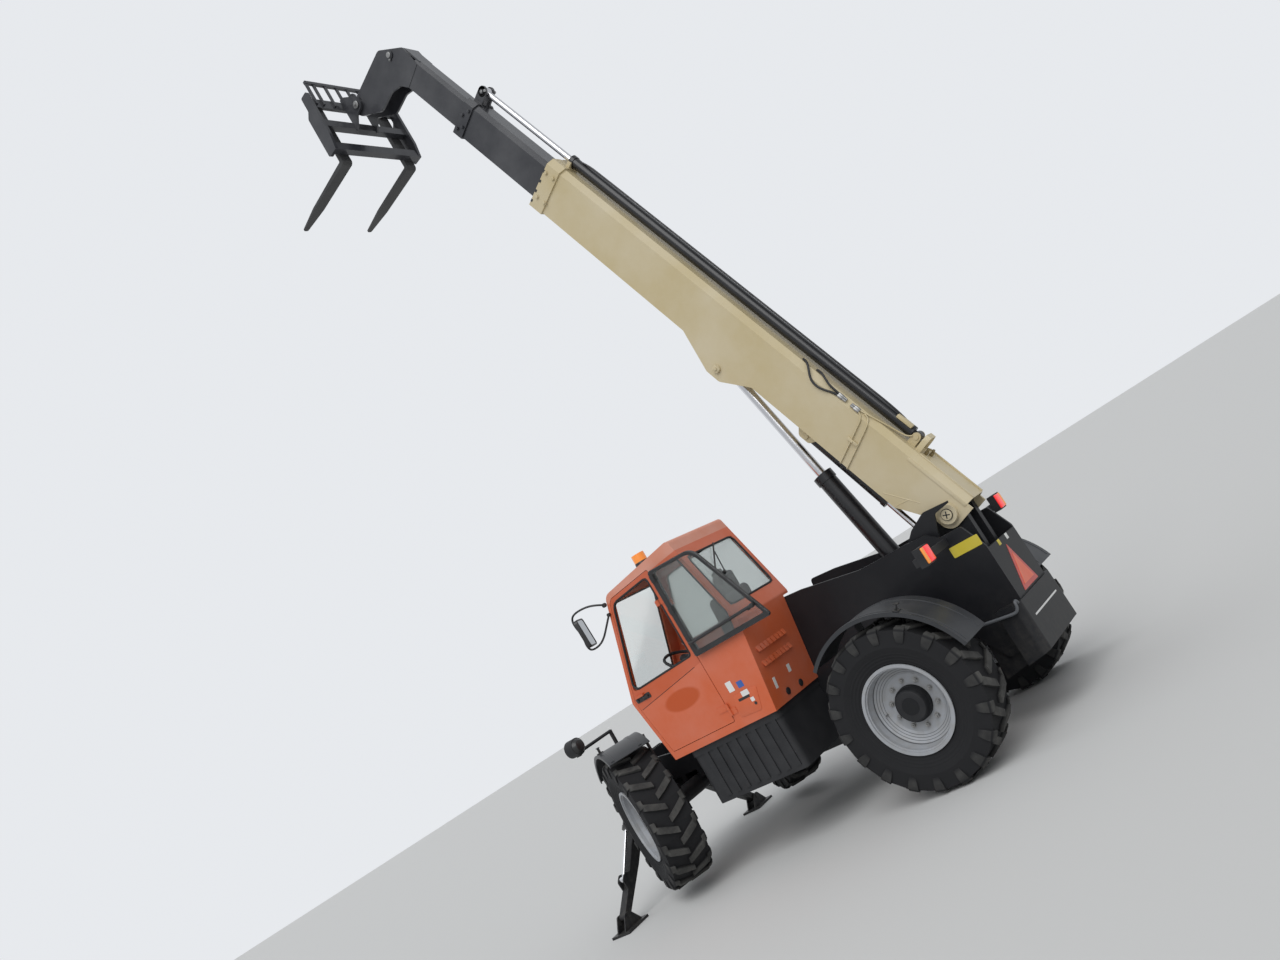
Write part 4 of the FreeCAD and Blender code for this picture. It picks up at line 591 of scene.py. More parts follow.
def rounded(outline, radii, steps=6):
    """The outline with an arc at each corner."""
    corners = [Vector(point) for point in outline]
    points = []
    rounds = zip(corners[-1:] + corners[:-1], corners, corners[1:] + corners[:1], radii)
    for behind, corner, following, radius in rounds:
        back, ahead = (behind - corner).normalized(), (following - corner).normalized()
        half = back.angle(ahead) / 2
        middle = corner + (back + ahead).normalized() * (radius / math.sin(half))
        first, last = (corner + way * (radius / math.tan(half)) - middle for way in (back, ahead))
        points += [middle + first.lerp(last, k / steps).normalized() * radius for k in range(steps + 1)]
    return points


LEAST_RADIUS = 0.006


def window_ring(bm, outline, place, widths, radii, thickness, grow=0.0):
    """A flat ring that reaches out past the outline by grow and inward by each edge's width."""
    slim = min(widths) * 0.7
    rims = [(inset(outline, [-grow] * len(outline)), [r + grow for r in radii]),
            (inset(outline, widths), [max(r - slim, LEAST_RADIUS) for r in radii])]
    outside, inside = ([bm.verts.new(place @ Vector((*point, 0.0))) for point in rounded(line, corner_radii)]
                       for line, corner_radii in rims)
    faces = [bm.faces.new((outside[k - 1], outside[k], inside[k], inside[k - 1])) for k in range(len(outside))]
    top = raise_faces(bm, faces, place.to_3x3() @ Vector((0, 0, thickness)))
    rim = [e for e in edges_of(top) if all(v in top for v in e.verts) and e.calc_face_angle(0.0) > 1.0]
    soften(bm, rim, thickness * 0.3, 1)


def bolt(bm, place, direction, radius, height=None):
    """A hexagon head on a washer."""
    direction = Vector(direction).normalized()
    drum(bm, place, direction, radius * 1.35, radius * 0.2, sides=20)
    drum(bm, Vector(place) + direction * radius * 0.19, direction, radius, height or radius * 0.75,
         top=radius * 0.96, sides=6, bevel=radius * 0.08)


def rectangle(x, y, width, height):
    return [(x - width / 2, y - height / 2), (x + width / 2, y - height / 2), (x + width / 2, y + height / 2),
            (x - width / 2, y + height / 2)]


# Pieces of the shared frame, each of which rides on a body

SHARP_ANGLE = math.radians(35.0)


def add_object(name, data):
    made = bpy.data.objects.new(name, data)
    bpy.context.scene.collection.objects.link(made)
    return made


def settle(name, mesh, body, material):
    mesh.materials.append(MATERIALS[material])
    piece = add_object(name, mesh)
    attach(piece, body)
    return piece


def finish(label, bm, place, body, material):
    """Turns a built mesh into a piece."""
    name = label.replace(" ", "_")
    bmesh.ops.transform(bm, matrix=place, verts=bm.verts)
    bmesh.ops.remove_doubles(bm, verts=bm.verts, dist=1e-6)
    bmesh.ops.recalc_face_normals(bm, faces=bm.faces)
    mesh = bpy.data.meshes.new(name)
    bm.to_mesh(mesh)
    bm.free()
    mesh.shade_smooth()
    mesh.set_sharp_from_angle(angle=SHARP_ANGLE)
    return settle(name, mesh, body, material)


def pipes(label, routes, radius, place, body, material):
    """Bent pipes through each route's points, in one piece."""
    name = label.replace(" ", "_")
    curve = bpy.data.curves.new(name, "CURVE")
    curve.dimensions = "3D"
    curve.bevel_depth = radius
    curve.bevel_resolution = 3
    curve.use_fill_caps = True
    for route in routes:
        spline = curve.splines.new("NURBS")
        spline.points.add(len(route) - 1)
        for point, at in zip(spline.points, route):
            point.co = (*(place @ Vector(at)), 1.0)
        spline.order_u = 3
        spline.use_endpoint_u = True
        spline.resolution_u = 6
    holder = add_object(name, curve)
    bpy.context.view_layer.update()
    mesh = bpy.data.meshes.new_from_object(holder.evaluated_get(bpy.context.evaluated_depsgraph_get()))
    bpy.data.objects.remove(holder)
    bpy.data.curves.remove(curve)
    mesh.name = name
    mesh.materials.clear()
    mesh.shade_smooth()
    return settle(name, mesh, body, material)


# Operators, one for each piece or group of like pieces

class HANDLER_OT_paint(bpy.types.Operator):
    """Builds the finishes and puts them on the solids"""
    bl_idname = "handler.paint"
    bl_label = "Paint the Solids"

    def execute(self, context):
        make_materials()
        for material, names in NODE_FINISH.items():
            for name in names:
                paint_node(name, MATERIALS[material])
        for corner in CORNERS:
            MATERIALS["rubber_" + corner] = rubber(corner)
            paint_node("tyre_" + corner, MATERIALS["rubber_" + corner])
            paint_node("rim_" + corner, rim_metal(corner))
        return {"FINISHED"}


DISC_FACE, HUB_FACE = 0.024, 0.098
VALVE = (0.238, 0.028, 0.0)


class HANDLER_OT_wheel_nuts(bpy.types.Operator):
    """Adds the wheel nuts, the valve and the hub cap to each wheel"""
    bl_idname = "handler.wheel_nuts"
    bl_label = "Wheel Nuts"

    def execute(self, context):
        count, circle = trim().wheel_nuts, trim().nut_circle
        for corner in CORNERS:
            place, body = wheel_frame(corner), "wheel_" + corner
            bm = bmesh.new()
            for k in range(count):
                angle = 2 * math.pi * (k + 0.5) / count
                ray = Vector((math.cos(angle), 0, math.sin(angle))) * circle
                bolt(bm, ray + ACROSS * DISC_FACE, ACROSS, 0.017, 0.016)
                drum(bm, ray + ACROSS * (DISC_FACE + 0.015), ACROSS, 0.009, 0.016, sides=12, bevel=0.001)
            drum(bm, VALVE, ACROSS, 0.007, 0.05, top=0.005, sides=12, bevel=0.001)
            finish("wheel nuts " + corner, bm, place, body, "steel")
            bm = bmesh.new()
            drum(bm, (0, HUB_FACE - 0.012, 0), ACROSS, 0.1195, 0.024, top=0.112, sides=64, bevel=0.004)
            finish("hub cap " + corner, bm, place, body, "hub")
        return {"FINISHED"}


LUGS_PER_SIDE = 18
LUG_END_Y = 0.188
SHOULDER_PROFILE = (
    # across, radius, half width of a tread bar's end as it runs down the sidewall
    (0.150, 0.6175, 0.034), (0.188, 0.6080, 0.040), (0.2050, 0.584, 0.040), (0.2065, 0.545, 0.036),
    (0.2010, 0.496, 0.026), (0.180, 0.494, 0.020), (0.160, 0.590, 0.028),
)


class HANDLER_OT_tread_ends(bpy.types.Operator):
    """Adds the ends of the tread bars that run down both sidewalls of each tyre"""
    bl_idname = "handler.tread_ends"
    bl_label = "Tread Ends"

    def first_angle(self, corner, to_wheel, lift):
        """The turn from straight up to the nearest bar's end, read from the tyre's own corners."""
        sine = cosine = 0.0
        for vert in NODES["tyre_" + corner].data.vertices:
            point = to_wheel @ vert.co
            if abs(point.y - lift * LUG_END_Y) < 0.0008:
                angle = LUGS_PER_SIDE * math.atan2(point.x, point.z)
                sine, cosine = sine + math.sin(angle), cosine + math.cos(angle)
        return math.atan2(sine, cosine) / LUGS_PER_SIDE

    def execute(self, context):
        for corner in CORNERS:
            place = wheel_frame(corner)
            bm = bmesh.new()
            for lift in SIDES:
                first = self.first_angle(corner, place.inverted(), lift)
                for k in range(LUGS_PER_SIDE):
                    turn = Matrix.Rotation(first + 2 * math.pi * k / LUGS_PER_SIDE, 3, "Y")
                    verts = [bm.verts.new(turn @ Vector((way * half, lift * across, radius)))
                             for across, radius, half in SHOULDER_PROFILE for way in SIDES]
                    inside = bmesh.ops.convex_hull(bm, input=verts)["geom_interior"]
                    loose = [v for v in inside
                             if isinstance(v, bmesh.types.BMVert) and v.is_valid and not v.link_faces]
                    bmesh.ops.delete(bm, geom=loose, context="VERTS")
            bmesh.ops.dissolve_limit(bm, angle_limit=0.02, verts=bm.verts, edges=bm.edges)
            soften(bm, [e for e in bm.edges if e.calc_face_angle(0.0) > 0.7], 0.004, 1)
            finish("tread ends " + corner, bm, place, "wheel_" + corner, "rubber_" + corner)
        return {"FINISHED"}


# Along the boom, across it and up from its line
COLLAR_BOLTS = ((4.734, 0.085), (4.635, 0.085), (4.716, -0.153), (4.614, -0.154))
MID_COLLAR_BOLTS = ((5.905, 0.060), (5.960, -0.010), (5.905, -0.105), (5.960, -0.150))
BASE_COLLAR_Y, MID_COLLAR_Y = 0.185, 0.152
NOTCHES = (-0.215, -0.115, -0.015, 0.085)
ROD_EYE_PINS = ((5.920, 0.268), (5.885, 0.295))


class HANDLER_OT_boom_bolts(bpy.types.Operator):
    """Adds the wear pads' bolts, black marks as painted shade in the collar's notches and the pin caps' slots, the
    pins' keepers and the telescope rod's eye to the boom
    """
    bl_idname = "handler.boom_bolts"
    bl_label = "Boom Bolts"

    def execute(self, context):
        size = trim().bolt_radius
        for name, spots, y, body, material in (
                ("base collar bolts", COLLAR_BOLTS, BASE_COLLAR_Y, "boom", "boom"),
                ("middle collar bolts", MID_COLLAR_BOLTS, MID_COLLAR_Y, "mid", "inner_boom")):
            bm = bmesh.new()
            for side in SIDES:
                for s, up in spots:
                    bolt(bm, (s, side * y, up), ACROSS * side, size * 1.15)
            finish(name, bm, BOOM, body, material)
        lower, lift, caps, slots, notches, pins = (bmesh.new() for _ in range(6))
        for side in SIDES:
            out = ACROSS * side
            for s in (4.66, 4.73):
                bolt(lower, (s, side * 0.06, -0.265), -ABOVE, size)
            block(lift, (2.225, side * 0.187, -0.345), (2.289, side * 0.195, -0.295))
            bolt(lift, (2.257, side * 0.195, -0.320), out, 0.013)
            drum(caps, out * 0.222, out, 0.042, 0.008, bevel=0.002)
            # Painted shade: thin black bars across each pivot pin keeper stand in for the shade in its slots.
            for angle in (0.9, 0.9 + math.pi / 2):
                block(slots, (-0.028, side * 0.2290, -0.0045), (0.028, side * 0.2315, 0.0045), 0.0008,
                      turn=Matrix.Rotation(angle, 4, "Y"))
            # Painted shade: small black pieces at the base collar stand in for the shade in its notches.
            for s, up in COLLAR_BOLTS:
                drum(notches, (s, side * (BASE_COLLAR_Y + 0.002), up), out, 0.0105, 0.013, sides=16, bevel=0.001)
            for up in NOTCHES:
                block(notches, (4.748, side * (BASE_COLLAR_Y - 0.004), up - 0.014),
                      (4.7712, side * (BASE_COLLAR_Y + 0.0012), up + 0.014), 0.0012)
            for s, up in ROD_EYE_PINS:
                drum(pins, (s, side * 0.060, up), out, 0.014, 0.016, sides=24, bevel=0.002)
        finish("base collar lower bolts", lower, BOOM, "boom", "steel")
        finish("lift pin keepers", lift, BOOM, "boom", "boom")
        finish("pivot pin keepers", caps, BOOM, "chassis", "boom")
        finish("pivot pin slot shade", slots, BOOM, "chassis", "black")
        finish("base collar notch shade", notches, BOOM, "boom", "black")
        cheeks = bmesh.new()
        for y in (-0.062, 0.042):
            drum(cheeks, (5.920, y, 0.268), ACROSS, 0.054, 0.020, bevel=0.003)
        finish("rod eye cheeks", cheeks, BOOM, "mid", "black")
        finish("rod eye pins", pins, BOOM, "mid", "steel")
        return {"FINISHED"}


CYLINDER_PIPE = [
    (0.70, 0.024, 0.318), (0.80, 0.024, 0.336), (1.2, 0.024, 0.338), (3.0, 0.024, 0.338), (4.35, 0.024, 0.338),
    (4.45, 0.0192, 0.332), (4.53, 0.0144, 0.318)]
HOSES = [
    [(1.68, 0.095, 0.206), (1.63, 0.125, 0.220), (1.57, 0.165, 0.190), (1.50, 0.186, 0.140), (1.42, 0.188, 0.128),
     (1.345, 0.182, 0.150), (1.285, 0.168, 0.172), (1.245, 0.163, 0.176)],
    [(1.53, 0.095, 0.206), (1.48, 0.120, 0.224), (1.42, 0.150, 0.214), (1.355, 0.160, 0.196), (1.29, 0.152, 0.189),
     (1.245, 0.150, 0.188)],
]
HOSE_ENDS = ((0.163, 0.176), (0.150, 0.188))
TOP_PIPE = [(1.03, 0.150, 0.188), (0.98, 0.148, 0.196), (0.86, 0.125, 0.212), (0.70, 0.072, 0.222),
            (0.62, 0.064, 0.235), (0.60, 0.060, 0.262)]
SADDLE_OUTER = [(-0.074, 0.197), (-0.074, 0.292), (-0.050, 0.336), (0.050, 0.336), (0.074, 0.292), (0.074, 0.197)]
SADDLE_INNER = [(0.066, 0.197), (0.066, 0.289), (0.046, 0.328), (-0.046, 0.328), (-0.066, 0.289), (-0.066, 0.197)]


class HANDLER_OT_boom_pipes(bpy.types.Operator):
    """Adds the pipes, hoses and fittings of the base boom, its clamps, its flanges and the cylinder's saddle"""
    bl_idname = "handler.boom_pipes"
    bl_label = "Boom Pipes"

    def execute(self, context):
        radius = trim().pipe_radius
        pipes("telescope cylinder pipe", [CYLINDER_PIPE], radius * 0.8, BOOM, "boom", "barrel")
        pipes("base boom hoses", HOSES, radius * 0.95, BOOM, "boom", "pipe")
        risers = [[(s - 0.004, 0.140, -0.256), (s, 0.174, -0.257), (s + 0.002, 0.181, -0.235),
                   (s + 0.062, 0.181, 0.095), (s + 0.075, 0.178, 0.145), (s + 0.11, y, up), (s + 0.15, y, up)]
                  for s, (y, up) in zip((0.905, 0.835), HOSE_ENDS)]
        pipes("base boom pipes", risers + [TOP_PIPE], radius * 0.6, BOOM, "boom", "boom")
        bm = bmesh.new()
        for y, up in HOSE_ENDS:
            for s in (1.03, 1.20):
                drum(bm, (s, y, up), AHEAD, 0.013, 0.050, sides=6, bevel=0.002)
            for s in (1.075, 1.165):
                drum(bm, (s, y, up), AHEAD, 0.009, 0.040, sides=16)
        finish("hose fittings", bm, BOOM, "boom", "steel")
        bm = bmesh.new()
        for s, y in ((0.435, 0.030), (0.405, -0.020)):
            drum(bm, (s, y, 0.199), ABOVE, 0.017, 0.030, sides=6, bevel=0.002)
            drum(bm, (s, y, 0.228), (0.25, 0, 1), 0.011, 0.028, sides=20, bevel=0.002)
        finish("cylinder fittings", bm, BOOM, "boom", "brass")
        bm = bmesh.new()
        plate(bm, SADDLE_OUTER + SADDLE_INNER, axes(AHEAD * 0.470, ACROSS, ABOVE, AHEAD), 0.046, 0.0, 0.0015)
        for side in SIDES:
            block(bm, (-0.055, side * 0.111, 0.198), (0.455, side * 0.123, 0.212))
            block(bm, (-0.060, side * 0.168, 0.122), (0.500, side * 0.177, 0.148), 0.004)
        for (s, up), run in (((0.489, -0.218), (-0.273, 0.134)), ((0.345, -0.230), (-0.045, 0.102))):
            run = Vector((run[0], 0, run[1]))
            drum(bm, (s, 0.1695, up), run, 0.0035, run.length, sides=8)
        finish("base boom flanges", bm, BOOM, "boom", "boom")
        bm = bmesh.new()
        block(bm, (0.875, 0.169, -0.055), (0.975, 0.192, -0.030))
        bolt(bm, (0.925, 0.191, -0.0425), ACROSS, 0.008)
        block(bm, (0.64, 0.020, 0.300), (0.79, 0.072, 0.330), 0.006)
        finish("pipe clamps", bm, BOOM, "boom", "boom")
        return {"FINISHED"}


SUNK = Matrix.Translation((0, 0, -0.006))
WINDOWS = (
    # name, outline, frame of the outline, place, body, corner radii, thickness of the seal
    ("door window", on_left([(1.470, 1.700), (2.222, 1.672), (1.930, 2.408), (1.470, 2.440)]), side_wall(1.092),
     LEVEL, "door", (0.03, 0.05, 0.11, 0.04), 0.016),
    ("quarter window", on_left([(0.960, 1.700), (1.380, 1.700), (1.380, 2.440), (1.100, 2.440), (0.940, 1.860)]),
     side_wall(1.090), LEVEL, "chassis", (0.04, 0.03, 0.03, 0.05, 0.04), 0.016),
    ("right window", [(0.960, 1.800), (2.170, 1.800), (1.915, 2.420), (1.110, 2.450), (0.945, 1.870)],
     side_wall(0.266, -1), LEVEL, "chassis", (0.05,) * 5, 0.010),
    ("windscreen", [(0.420, 0.080), (1.020, 0.080), (1.020, 0.882), (0.420, 0.882)], SUNK,
     WINDSCREEN_WALL, "chassis", (0.055,) * 4, 0.012),
    ("rear window", on_left([(0.318, 0.129), (1.030, 0.129), (1.030, 0.661), (0.318, 0.661)]), SUNK,
     REAR_UPPER_WALL, "chassis", (0.055,) * 4, 0.012),
)
SEAL_LAP = 0.006


class HANDLER_OT_window_seals(bpy.types.Operator):
    """Adds the rubber round each window of the cab"""
    bl_idname = "handler.window_seals"
    bl_label = "Window Seals"

    def execute(self, context):
        width = trim().seal_width - SEAL_LAP
        for name, outline, wall, place, body, radii, thickness in WINDOWS:
            bm = bmesh.new()
            window_ring(bm, outline, wall, [width] * len(outline), radii, thickness, SEAL_LAP)
            finish(name + " seal", bm, place, body, "seal")
        return {"FINISHED"}


SWUNG_OUTLINE = [(1.398, 1.672), (1.398, 2.462), (0.898, 2.430), (0.558, 1.672)]
SWUNG_WIDTHS = (0.046, 0.030, 0.034, 0.042)
SWUNG_RADII = (0.02, 0.03, 0.14, 0.02)
SWUNG_Y, SWUNG_DEPTH = 1.1285, 0.023


class HANDLER_OT_swung_window(bpy.types.Operator):
    """Adds the black frame, the catch bar and the hinges of the upper door window"""
    bl_idname = "handler.swung_window"
    bl_label = "Swung Window Frame"

    def execute(self, context):
        bm = bmesh.new()
        window_ring(bm, on_left(SWUNG_OUTLINE), side_wall(SWUNG_Y), SWUNG_WIDTHS, SWUNG_RADII, SWUNG_DEPTH, 0.0015)
        finish("swung window frame", bm, LEVEL, "chassis", "black")
        bm = bmesh.new()
        drum(bm, (1.37, 1.176, 1.790), (-1, 0, 0.02), 0.013, 0.71, sides=16, bevel=0.003)
        for x in (1.34, 1.02, 0.70):
            drum(bm, (x, 1.150, 1.790), ACROSS, 0.009, 0.026, sides=12)
        drum(bm, (0.67, 1.176, 1.803), -AHEAD, 0.019, 0.035, sides=20, bevel=0.006)
        for z in (2.36, 2.06):
            block(bm, (1.350, 1.150, z), (1.394, 1.164, z + 0.060), 0.004)
        finish("swung window bar", bm, LEVEL, "chassis", "black")
        return {"FINISHED"}


class HANDLER_OT_door_fittings(bpy.types.Operator):
    """Adds the door's handle and a thin dark strip of painted shade along its crease"""
    bl_idname = "handler.door_fittings"
    bl_label = "Door Fittings"

    def execute(self, context):
        bm = bmesh.new()
        plate(bm, on_left([(2.065, 1.568), (2.245, 1.568), (2.250, 1.618), (2.070, 1.618)]), side_wall(1.1015),
              0.006, 0.012, 0.002)
        block(bm, (2.085, 1.105, 1.582), (2.150, 1.128, 1.603), 0.006)
        drum(bm, (2.225, 1.106, 1.592), ACROSS, 0.014, 0.012, sides=24, bevel=0.003)
        finish("door handle", bm, LEVEL, "door", "black")
        bm = bmesh.new()
        # Painted shade: a thin dark rod in the window rubber's colour runs along the crease line, standing in for the
        # crease's shade.
        run = Vector((CREASE_HEAD[0] - CREASE_FOOT[0], 0, CREASE_HEAD[1] - CREASE_FOOT[1]))
        drum(bm, (CREASE_FOOT[0] - 0.055, 1.1022, CREASE_FOOT[1] + 0.0076), run, 0.0022, run.length - 0.09, sides=8)
        finish("door crease painted shade", bm, LEVEL, "door", "seal")
        return {"FINISHED"}


FUEL_FLAP = [(1.125, 1.068), (1.349, 1.080), (1.318, 1.256), (1.061, 1.256)]
FLAP_FACE = 1.1030
WALL_FACE = 1.1000
SIDE_FILMS = (
    # material, x, height, face of the wall, width and height of the film
    ("white", 1.292, 1.336, WALL_FACE, 0.060, 0.086), ("blue", 1.189, 1.319, WALL_FACE, 0.060, 0.054),
    ("white", 1.189, 1.242, FLAP_FACE, 0.076, 0.044), ("black", 1.222, 1.209, FLAP_FACE, 0.120, 0.022),
    ("white", 1.154, 1.172, FLAP_FACE, 0.036, 0.034),
)
REAR_FILMS = ((0.705, 1.216, 0.046, 0.064), (0.965, 1.185, 0.036, 0.090))
GROMMETS = ((0.845, 1.073), (0.630, 1.062))
FILM = 0.0015


class HANDLER_OT_cab_plates(bpy.types.Operator):
    """Adds the fuel flap and the blank films and grommets on the cab"""
    bl_idname = "handler.cab_plates"
    bl_label = "Cab Plates"

    def execute(self, context):
        bm = bmesh.new()
        plate(bm, on_left(FUEL_FLAP), side_wall(1.0995), 0.004, 0.022, 0.0015)
        finish("fuel flap", bm, LEVEL, "chassis", "cab")
        bm = bmesh.new()
        drum(bm, (1.145, 1.1034, 1.135), ACROSS, 0.013, 0.005, sides=24, bevel=0.002)
        finish("fuel flap lock", bm, LEVEL, "chassis", "black")
        for k, (material, x, z, y, width, height) in enumerate(SIDE_FILMS, 1):
            bm = bmesh.new()
            plate(bm, on_left(rectangle(x, z, width, height)), side_wall(y), FILM, 0.003)
            finish(f"blank film {k}", bm, LEVEL, "chassis", material)
        onto = REAR_LOWER_WALL.inverted() @ LEVEL
        films, grommets = bmesh.new(), bmesh.new()
        for y, z, width, height in REAR_FILMS:
            at = onto @ Vector((0.96, y, z))
            plate(films, rectangle(at.x, at.y, width, height), Matrix.Identity(4), FILM, 0.003)
        finish("blank rear films", films, REAR_LOWER_WALL, "chassis", "white")
        for y, z in GROMMETS:
            at = onto @ Vector((0.99, y, z))
            drum(grommets, (at.x, at.y, -0.001), ABOVE, 0.030, 0.009, sides=28, bevel=0.003)
        finish("grommets", grommets, REAR_LOWER_WALL, "chassis", "seal")
        return {"FINISHED"}


WIPER_POINTS = ((0.987, 0.796, 2.140), (0.995, 0.709, 2.338), (0.986, 0.960, 2.110))


class HANDLER_OT_rear_wiper(bpy.types.Operator):
    """Adds the rear window's wiper and its motor"""
    bl_idname = "handler.rear_wiper"
    bl_label = "Rear Wiper"

    def execute(self, context):
        onto = REAR_UPPER_WALL.inverted() @ LEVEL
        motor, head, tip = (onto @ Vector(point) for point in WIPER_POINTS)
        arm, blade = head - motor, tip - head
        arm.z = blade.z = 0.0
        bm = bmesh.new()
        drum(bm, (motor.x, motor.y, -0.01), ABOVE, 0.016, 0.036, sides=20, bevel=0.003)
        drum(bm, (motor.x, motor.y, 0.020), arm, 0.006, arm.length, sides=10)
        drum(bm, Vector((head.x, head.y, 0.010)) - blade * 0.35, blade, 0.007, blade.length, sides=10)
        block(bm, (motor.x - 0.05, motor.y - 0.06, -0.085), (motor.x + 0.05, motor.y + 0.06, -0.022), 0.012)
        finish("rear wiper", bm, REAR_UPPER_WALL, "chassis", "black")
        return {"FINISHED"}


CHAIR_Y, ARMREST_Y = 0.69, 0.255


class HANDLER_OT_cab_inside(bpy.types.Operator):
    """Adds the headrest, armrests, console, joystick, wheel hub and dashboard inside the cab"""
    bl_idname = "handler.cab_inside"
    bl_label = "Cab Inside"

    def execute(self, context):
        bm = bmesh.new()
        block(bm, (1.045, 0.570, 1.985), (1.135, 0.810, 2.150), 0.03, segments=4)
        for y in (CHAIR_Y - ARMREST_Y, CHAIR_Y + ARMREST_Y):
            block(bm, (1.180, y - 0.03, 1.560), (1.560, y + 0.03, 1.610), 0.02, segments=3)
        finish("chair rests", bm, LEVEL, "chassis", "cloth")
        bm = bmesh.new()
        drum(bm, (1.60, 0.44, 1.44), (0.1, 0, 1), 0.012, 0.17, sides=16)
        drum(bm, (1.618, 0.44, 1.60), (0.1, 0, 1), 0.020, 0.075, top=0.026, sides=20, bevel=0.008)
        block(bm, (1.36, 0.37, 1.30), (1.76, 0.445, 1.45), 0.02)
        drum(bm, (1.880, 0.680, 1.690), (-0.55, 0, 0.83), 0.058, 0.030, top=0.045, sides=28, bevel=0.006)
        block(bm, (1.99, 0.52, 1.56), (2.10, 0.84, 1.66), 0.02)
        finish("cab controls", bm, LEVEL, "chassis", "moulding")
        return {"FINISHED"}


TAIL_LENSES = (
    # name, material, rear face, inner and outer side, bevel
    ("tail", "red_lens", -0.676, 0.833, 0.926, 0.009), ("turn", "amber_lens", -0.674, 0.930, 0.968, 0.008),
)
HEADLAMP_Y, HEADLAMP_Z = 1.0, 1.496


class HANDLER_OT_lamps(bpy.types.Operator):
    """Adds the lenses and backs of the lamps, the beacon's ring and the small reflectors"""
    bl_idname = "handler.lamps"
    bl_label = "Lamps"

    def execute(self, context):
        for side, name in ((1, "left"), (-1, "right")):
            for lamp, material, x, inner, outer, bevel in TAIL_LENSES:
                bm = bmesh.new()
                block(bm, (x, side * inner, 1.430), (-0.655, side * outer, 1.552), bevel, segments=3)
                finish(f"{lamp} lens {name}", bm, LEVEL, "chassis", material)
            y = side * HEADLAMP_Y
            bm = bmesh.new()
            drum(bm, (3.374, y, HEADLAMP_Z), AHEAD, 0.070, 0.014, top=0.055, sides=40, bevel=0.003)
            finish(f"headlamp lens {name}", bm, LEVEL, "chassis", "clear_lens")
            bm = bmesh.new()
            drum(bm, (3.230, y, HEADLAMP_Z), AHEAD, 0.050, 0.040, top=0.080, sides=40, bevel=0.004)
            block(bm, (3.29, y - 0.016, 1.405), (3.34, y + 0.016, 1.440), 0.004)
            finish(f"headlamp back {name}", bm, LEVEL, "chassis", "black")
        bm = bmesh.new()
        drum(bm, (1.795, 0.640, 2.532), ABOVE, 0.0665, 0.090, top=0.0640, sides=40, bevel=0.004)
        finish("beacon ring", bm, LEVEL, "chassis", "black")
        for material, y in (("yellow", 0.096), ("white", -0.106)):
            bm = bmesh.new()
            block(bm, (-0.8375, y - 0.026, 1.245), (-0.832, y + 0.026, 1.290), 0.0015)
            finish(f"{material} reflector", bm, LEVEL, "chassis", material)
        return {"FINISHED"}


MIRROR_CENTRE = (2.262, 1.205, 2.320)
MIRROR_TURN = Matrix.Rotation(math.radians(114.0), 4, "Z") @ Matrix.Rotation(math.radians(-88.0), 4, "X")
MIRROR_SIZE = (0.168, 0.262)
MIRROR_FRAME = 0.022
MIRROR_ROOT = Vector((2.010, 1.112, 2.436))
UPPER_ARM = [(2.010, 1.112, 2.436), (2.030, 1.150, 2.462), (2.130, 1.190, 2.505), (2.270, 1.225, 2.512),
             (2.322, 1.235, 2.470), (2.320, 1.230, 2.380)]
LOWER_ARM = [(2.020, 1.112, 2.346), (2.060, 1.130, 2.300), (2.190, 1.165, 2.170), (2.300, 1.215, 2.155),
             (2.322, 1.228, 2.210)]


class HANDLER_OT_mirror(bpy.types.Operator):
    """Builds the door mirror: a rounded housing turned to the driver, its glass and its bent arms"""
    bl_idname = "handler.mirror"
    bl_label = "Mirror"

    def execute(self, context):
        face = Matrix.Translation(MIRROR_CENTRE) @ MIRROR_TURN
        width, height = MIRROR_SIZE
        shape = rectangle(0.0, 0.0, width, height)
        behind = face @ Vector((0, 0.0, -0.044))
        bm = bmesh.new()
        plate(bm, shape, face @ Matrix.Translation((0, 0, -0.034)), 0.034, 0.030, 0.004)
        window_ring(bm, shape, face @ Matrix.Translation((0, 0, -0.001)), [0.013] * 4, [0.030] * 4, 0.007)
        drum(bm, MIRROR_ROOT - ACROSS * 0.012, ACROSS, 0.020, 0.026, sides=20, bevel=0.003)
        drum(bm, MIRROR_ROOT + Vector((0.010, -0.012, -0.090)), ACROSS, 0.016, 0.026, sides=20, bevel=0.003)
        drum(bm, behind - ABOVE * 0.022, ABOVE, 0.017, 0.044, sides=16, bevel=0.003)
        housing = finish("mirror housing", bm, LEVEL, "chassis", "black")
        bm = bmesh.new()
        plate(bm, rectangle(0.0, 0.0, width - MIRROR_FRAME, height - MIRROR_FRAME), face, 0.002, 0.022)
        pane = finish("mirror glass", bm, LEVEL, "chassis", "silver")
        arms = [[*arm, tuple(behind + Vector((0.004, 0.0, lift))), tuple(behind)]
                for arm, lift in ((UPPER_ARM, 0.02), (LOWER_ARM, -0.02))]
        rods = pipes("mirror arms", arms, 0.009, LEVEL, "chassis", "black")
        for piece in (housing, pane, rods):
            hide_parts("mirror")
        return {"FINISHED"}


REAR_PLATE_X, BUMPER_X = -0.8345, -0.8497
TRIANGLES = (
    # name, outline, lift, material
    ("triangle border", [(-0.190, 0.880), (0.190, 0.880), (0.0, 1.225)], 0.0, "red_film"),
    ("triangle", [(-0.130, 0.915), (0.130, 0.915), (0.0, 1.150)], 0.0028, "orange_film"),
)
TAIL_HANDLE = [
    (-0.468, 0.345, 0.838), (-0.468, 0.440, 0.838), (-0.468, 0.482, 0.838), (-0.520, 0.482, 0.833),
    (-0.740, 0.482, 0.810), (-0.800, 0.482, 0.806), (-0.826, 0.480, 0.830), (-0.832, 0.476, 0.880),
    (-0.832, 0.440, 0.880), (-0.832, 0.430, 0.856)]


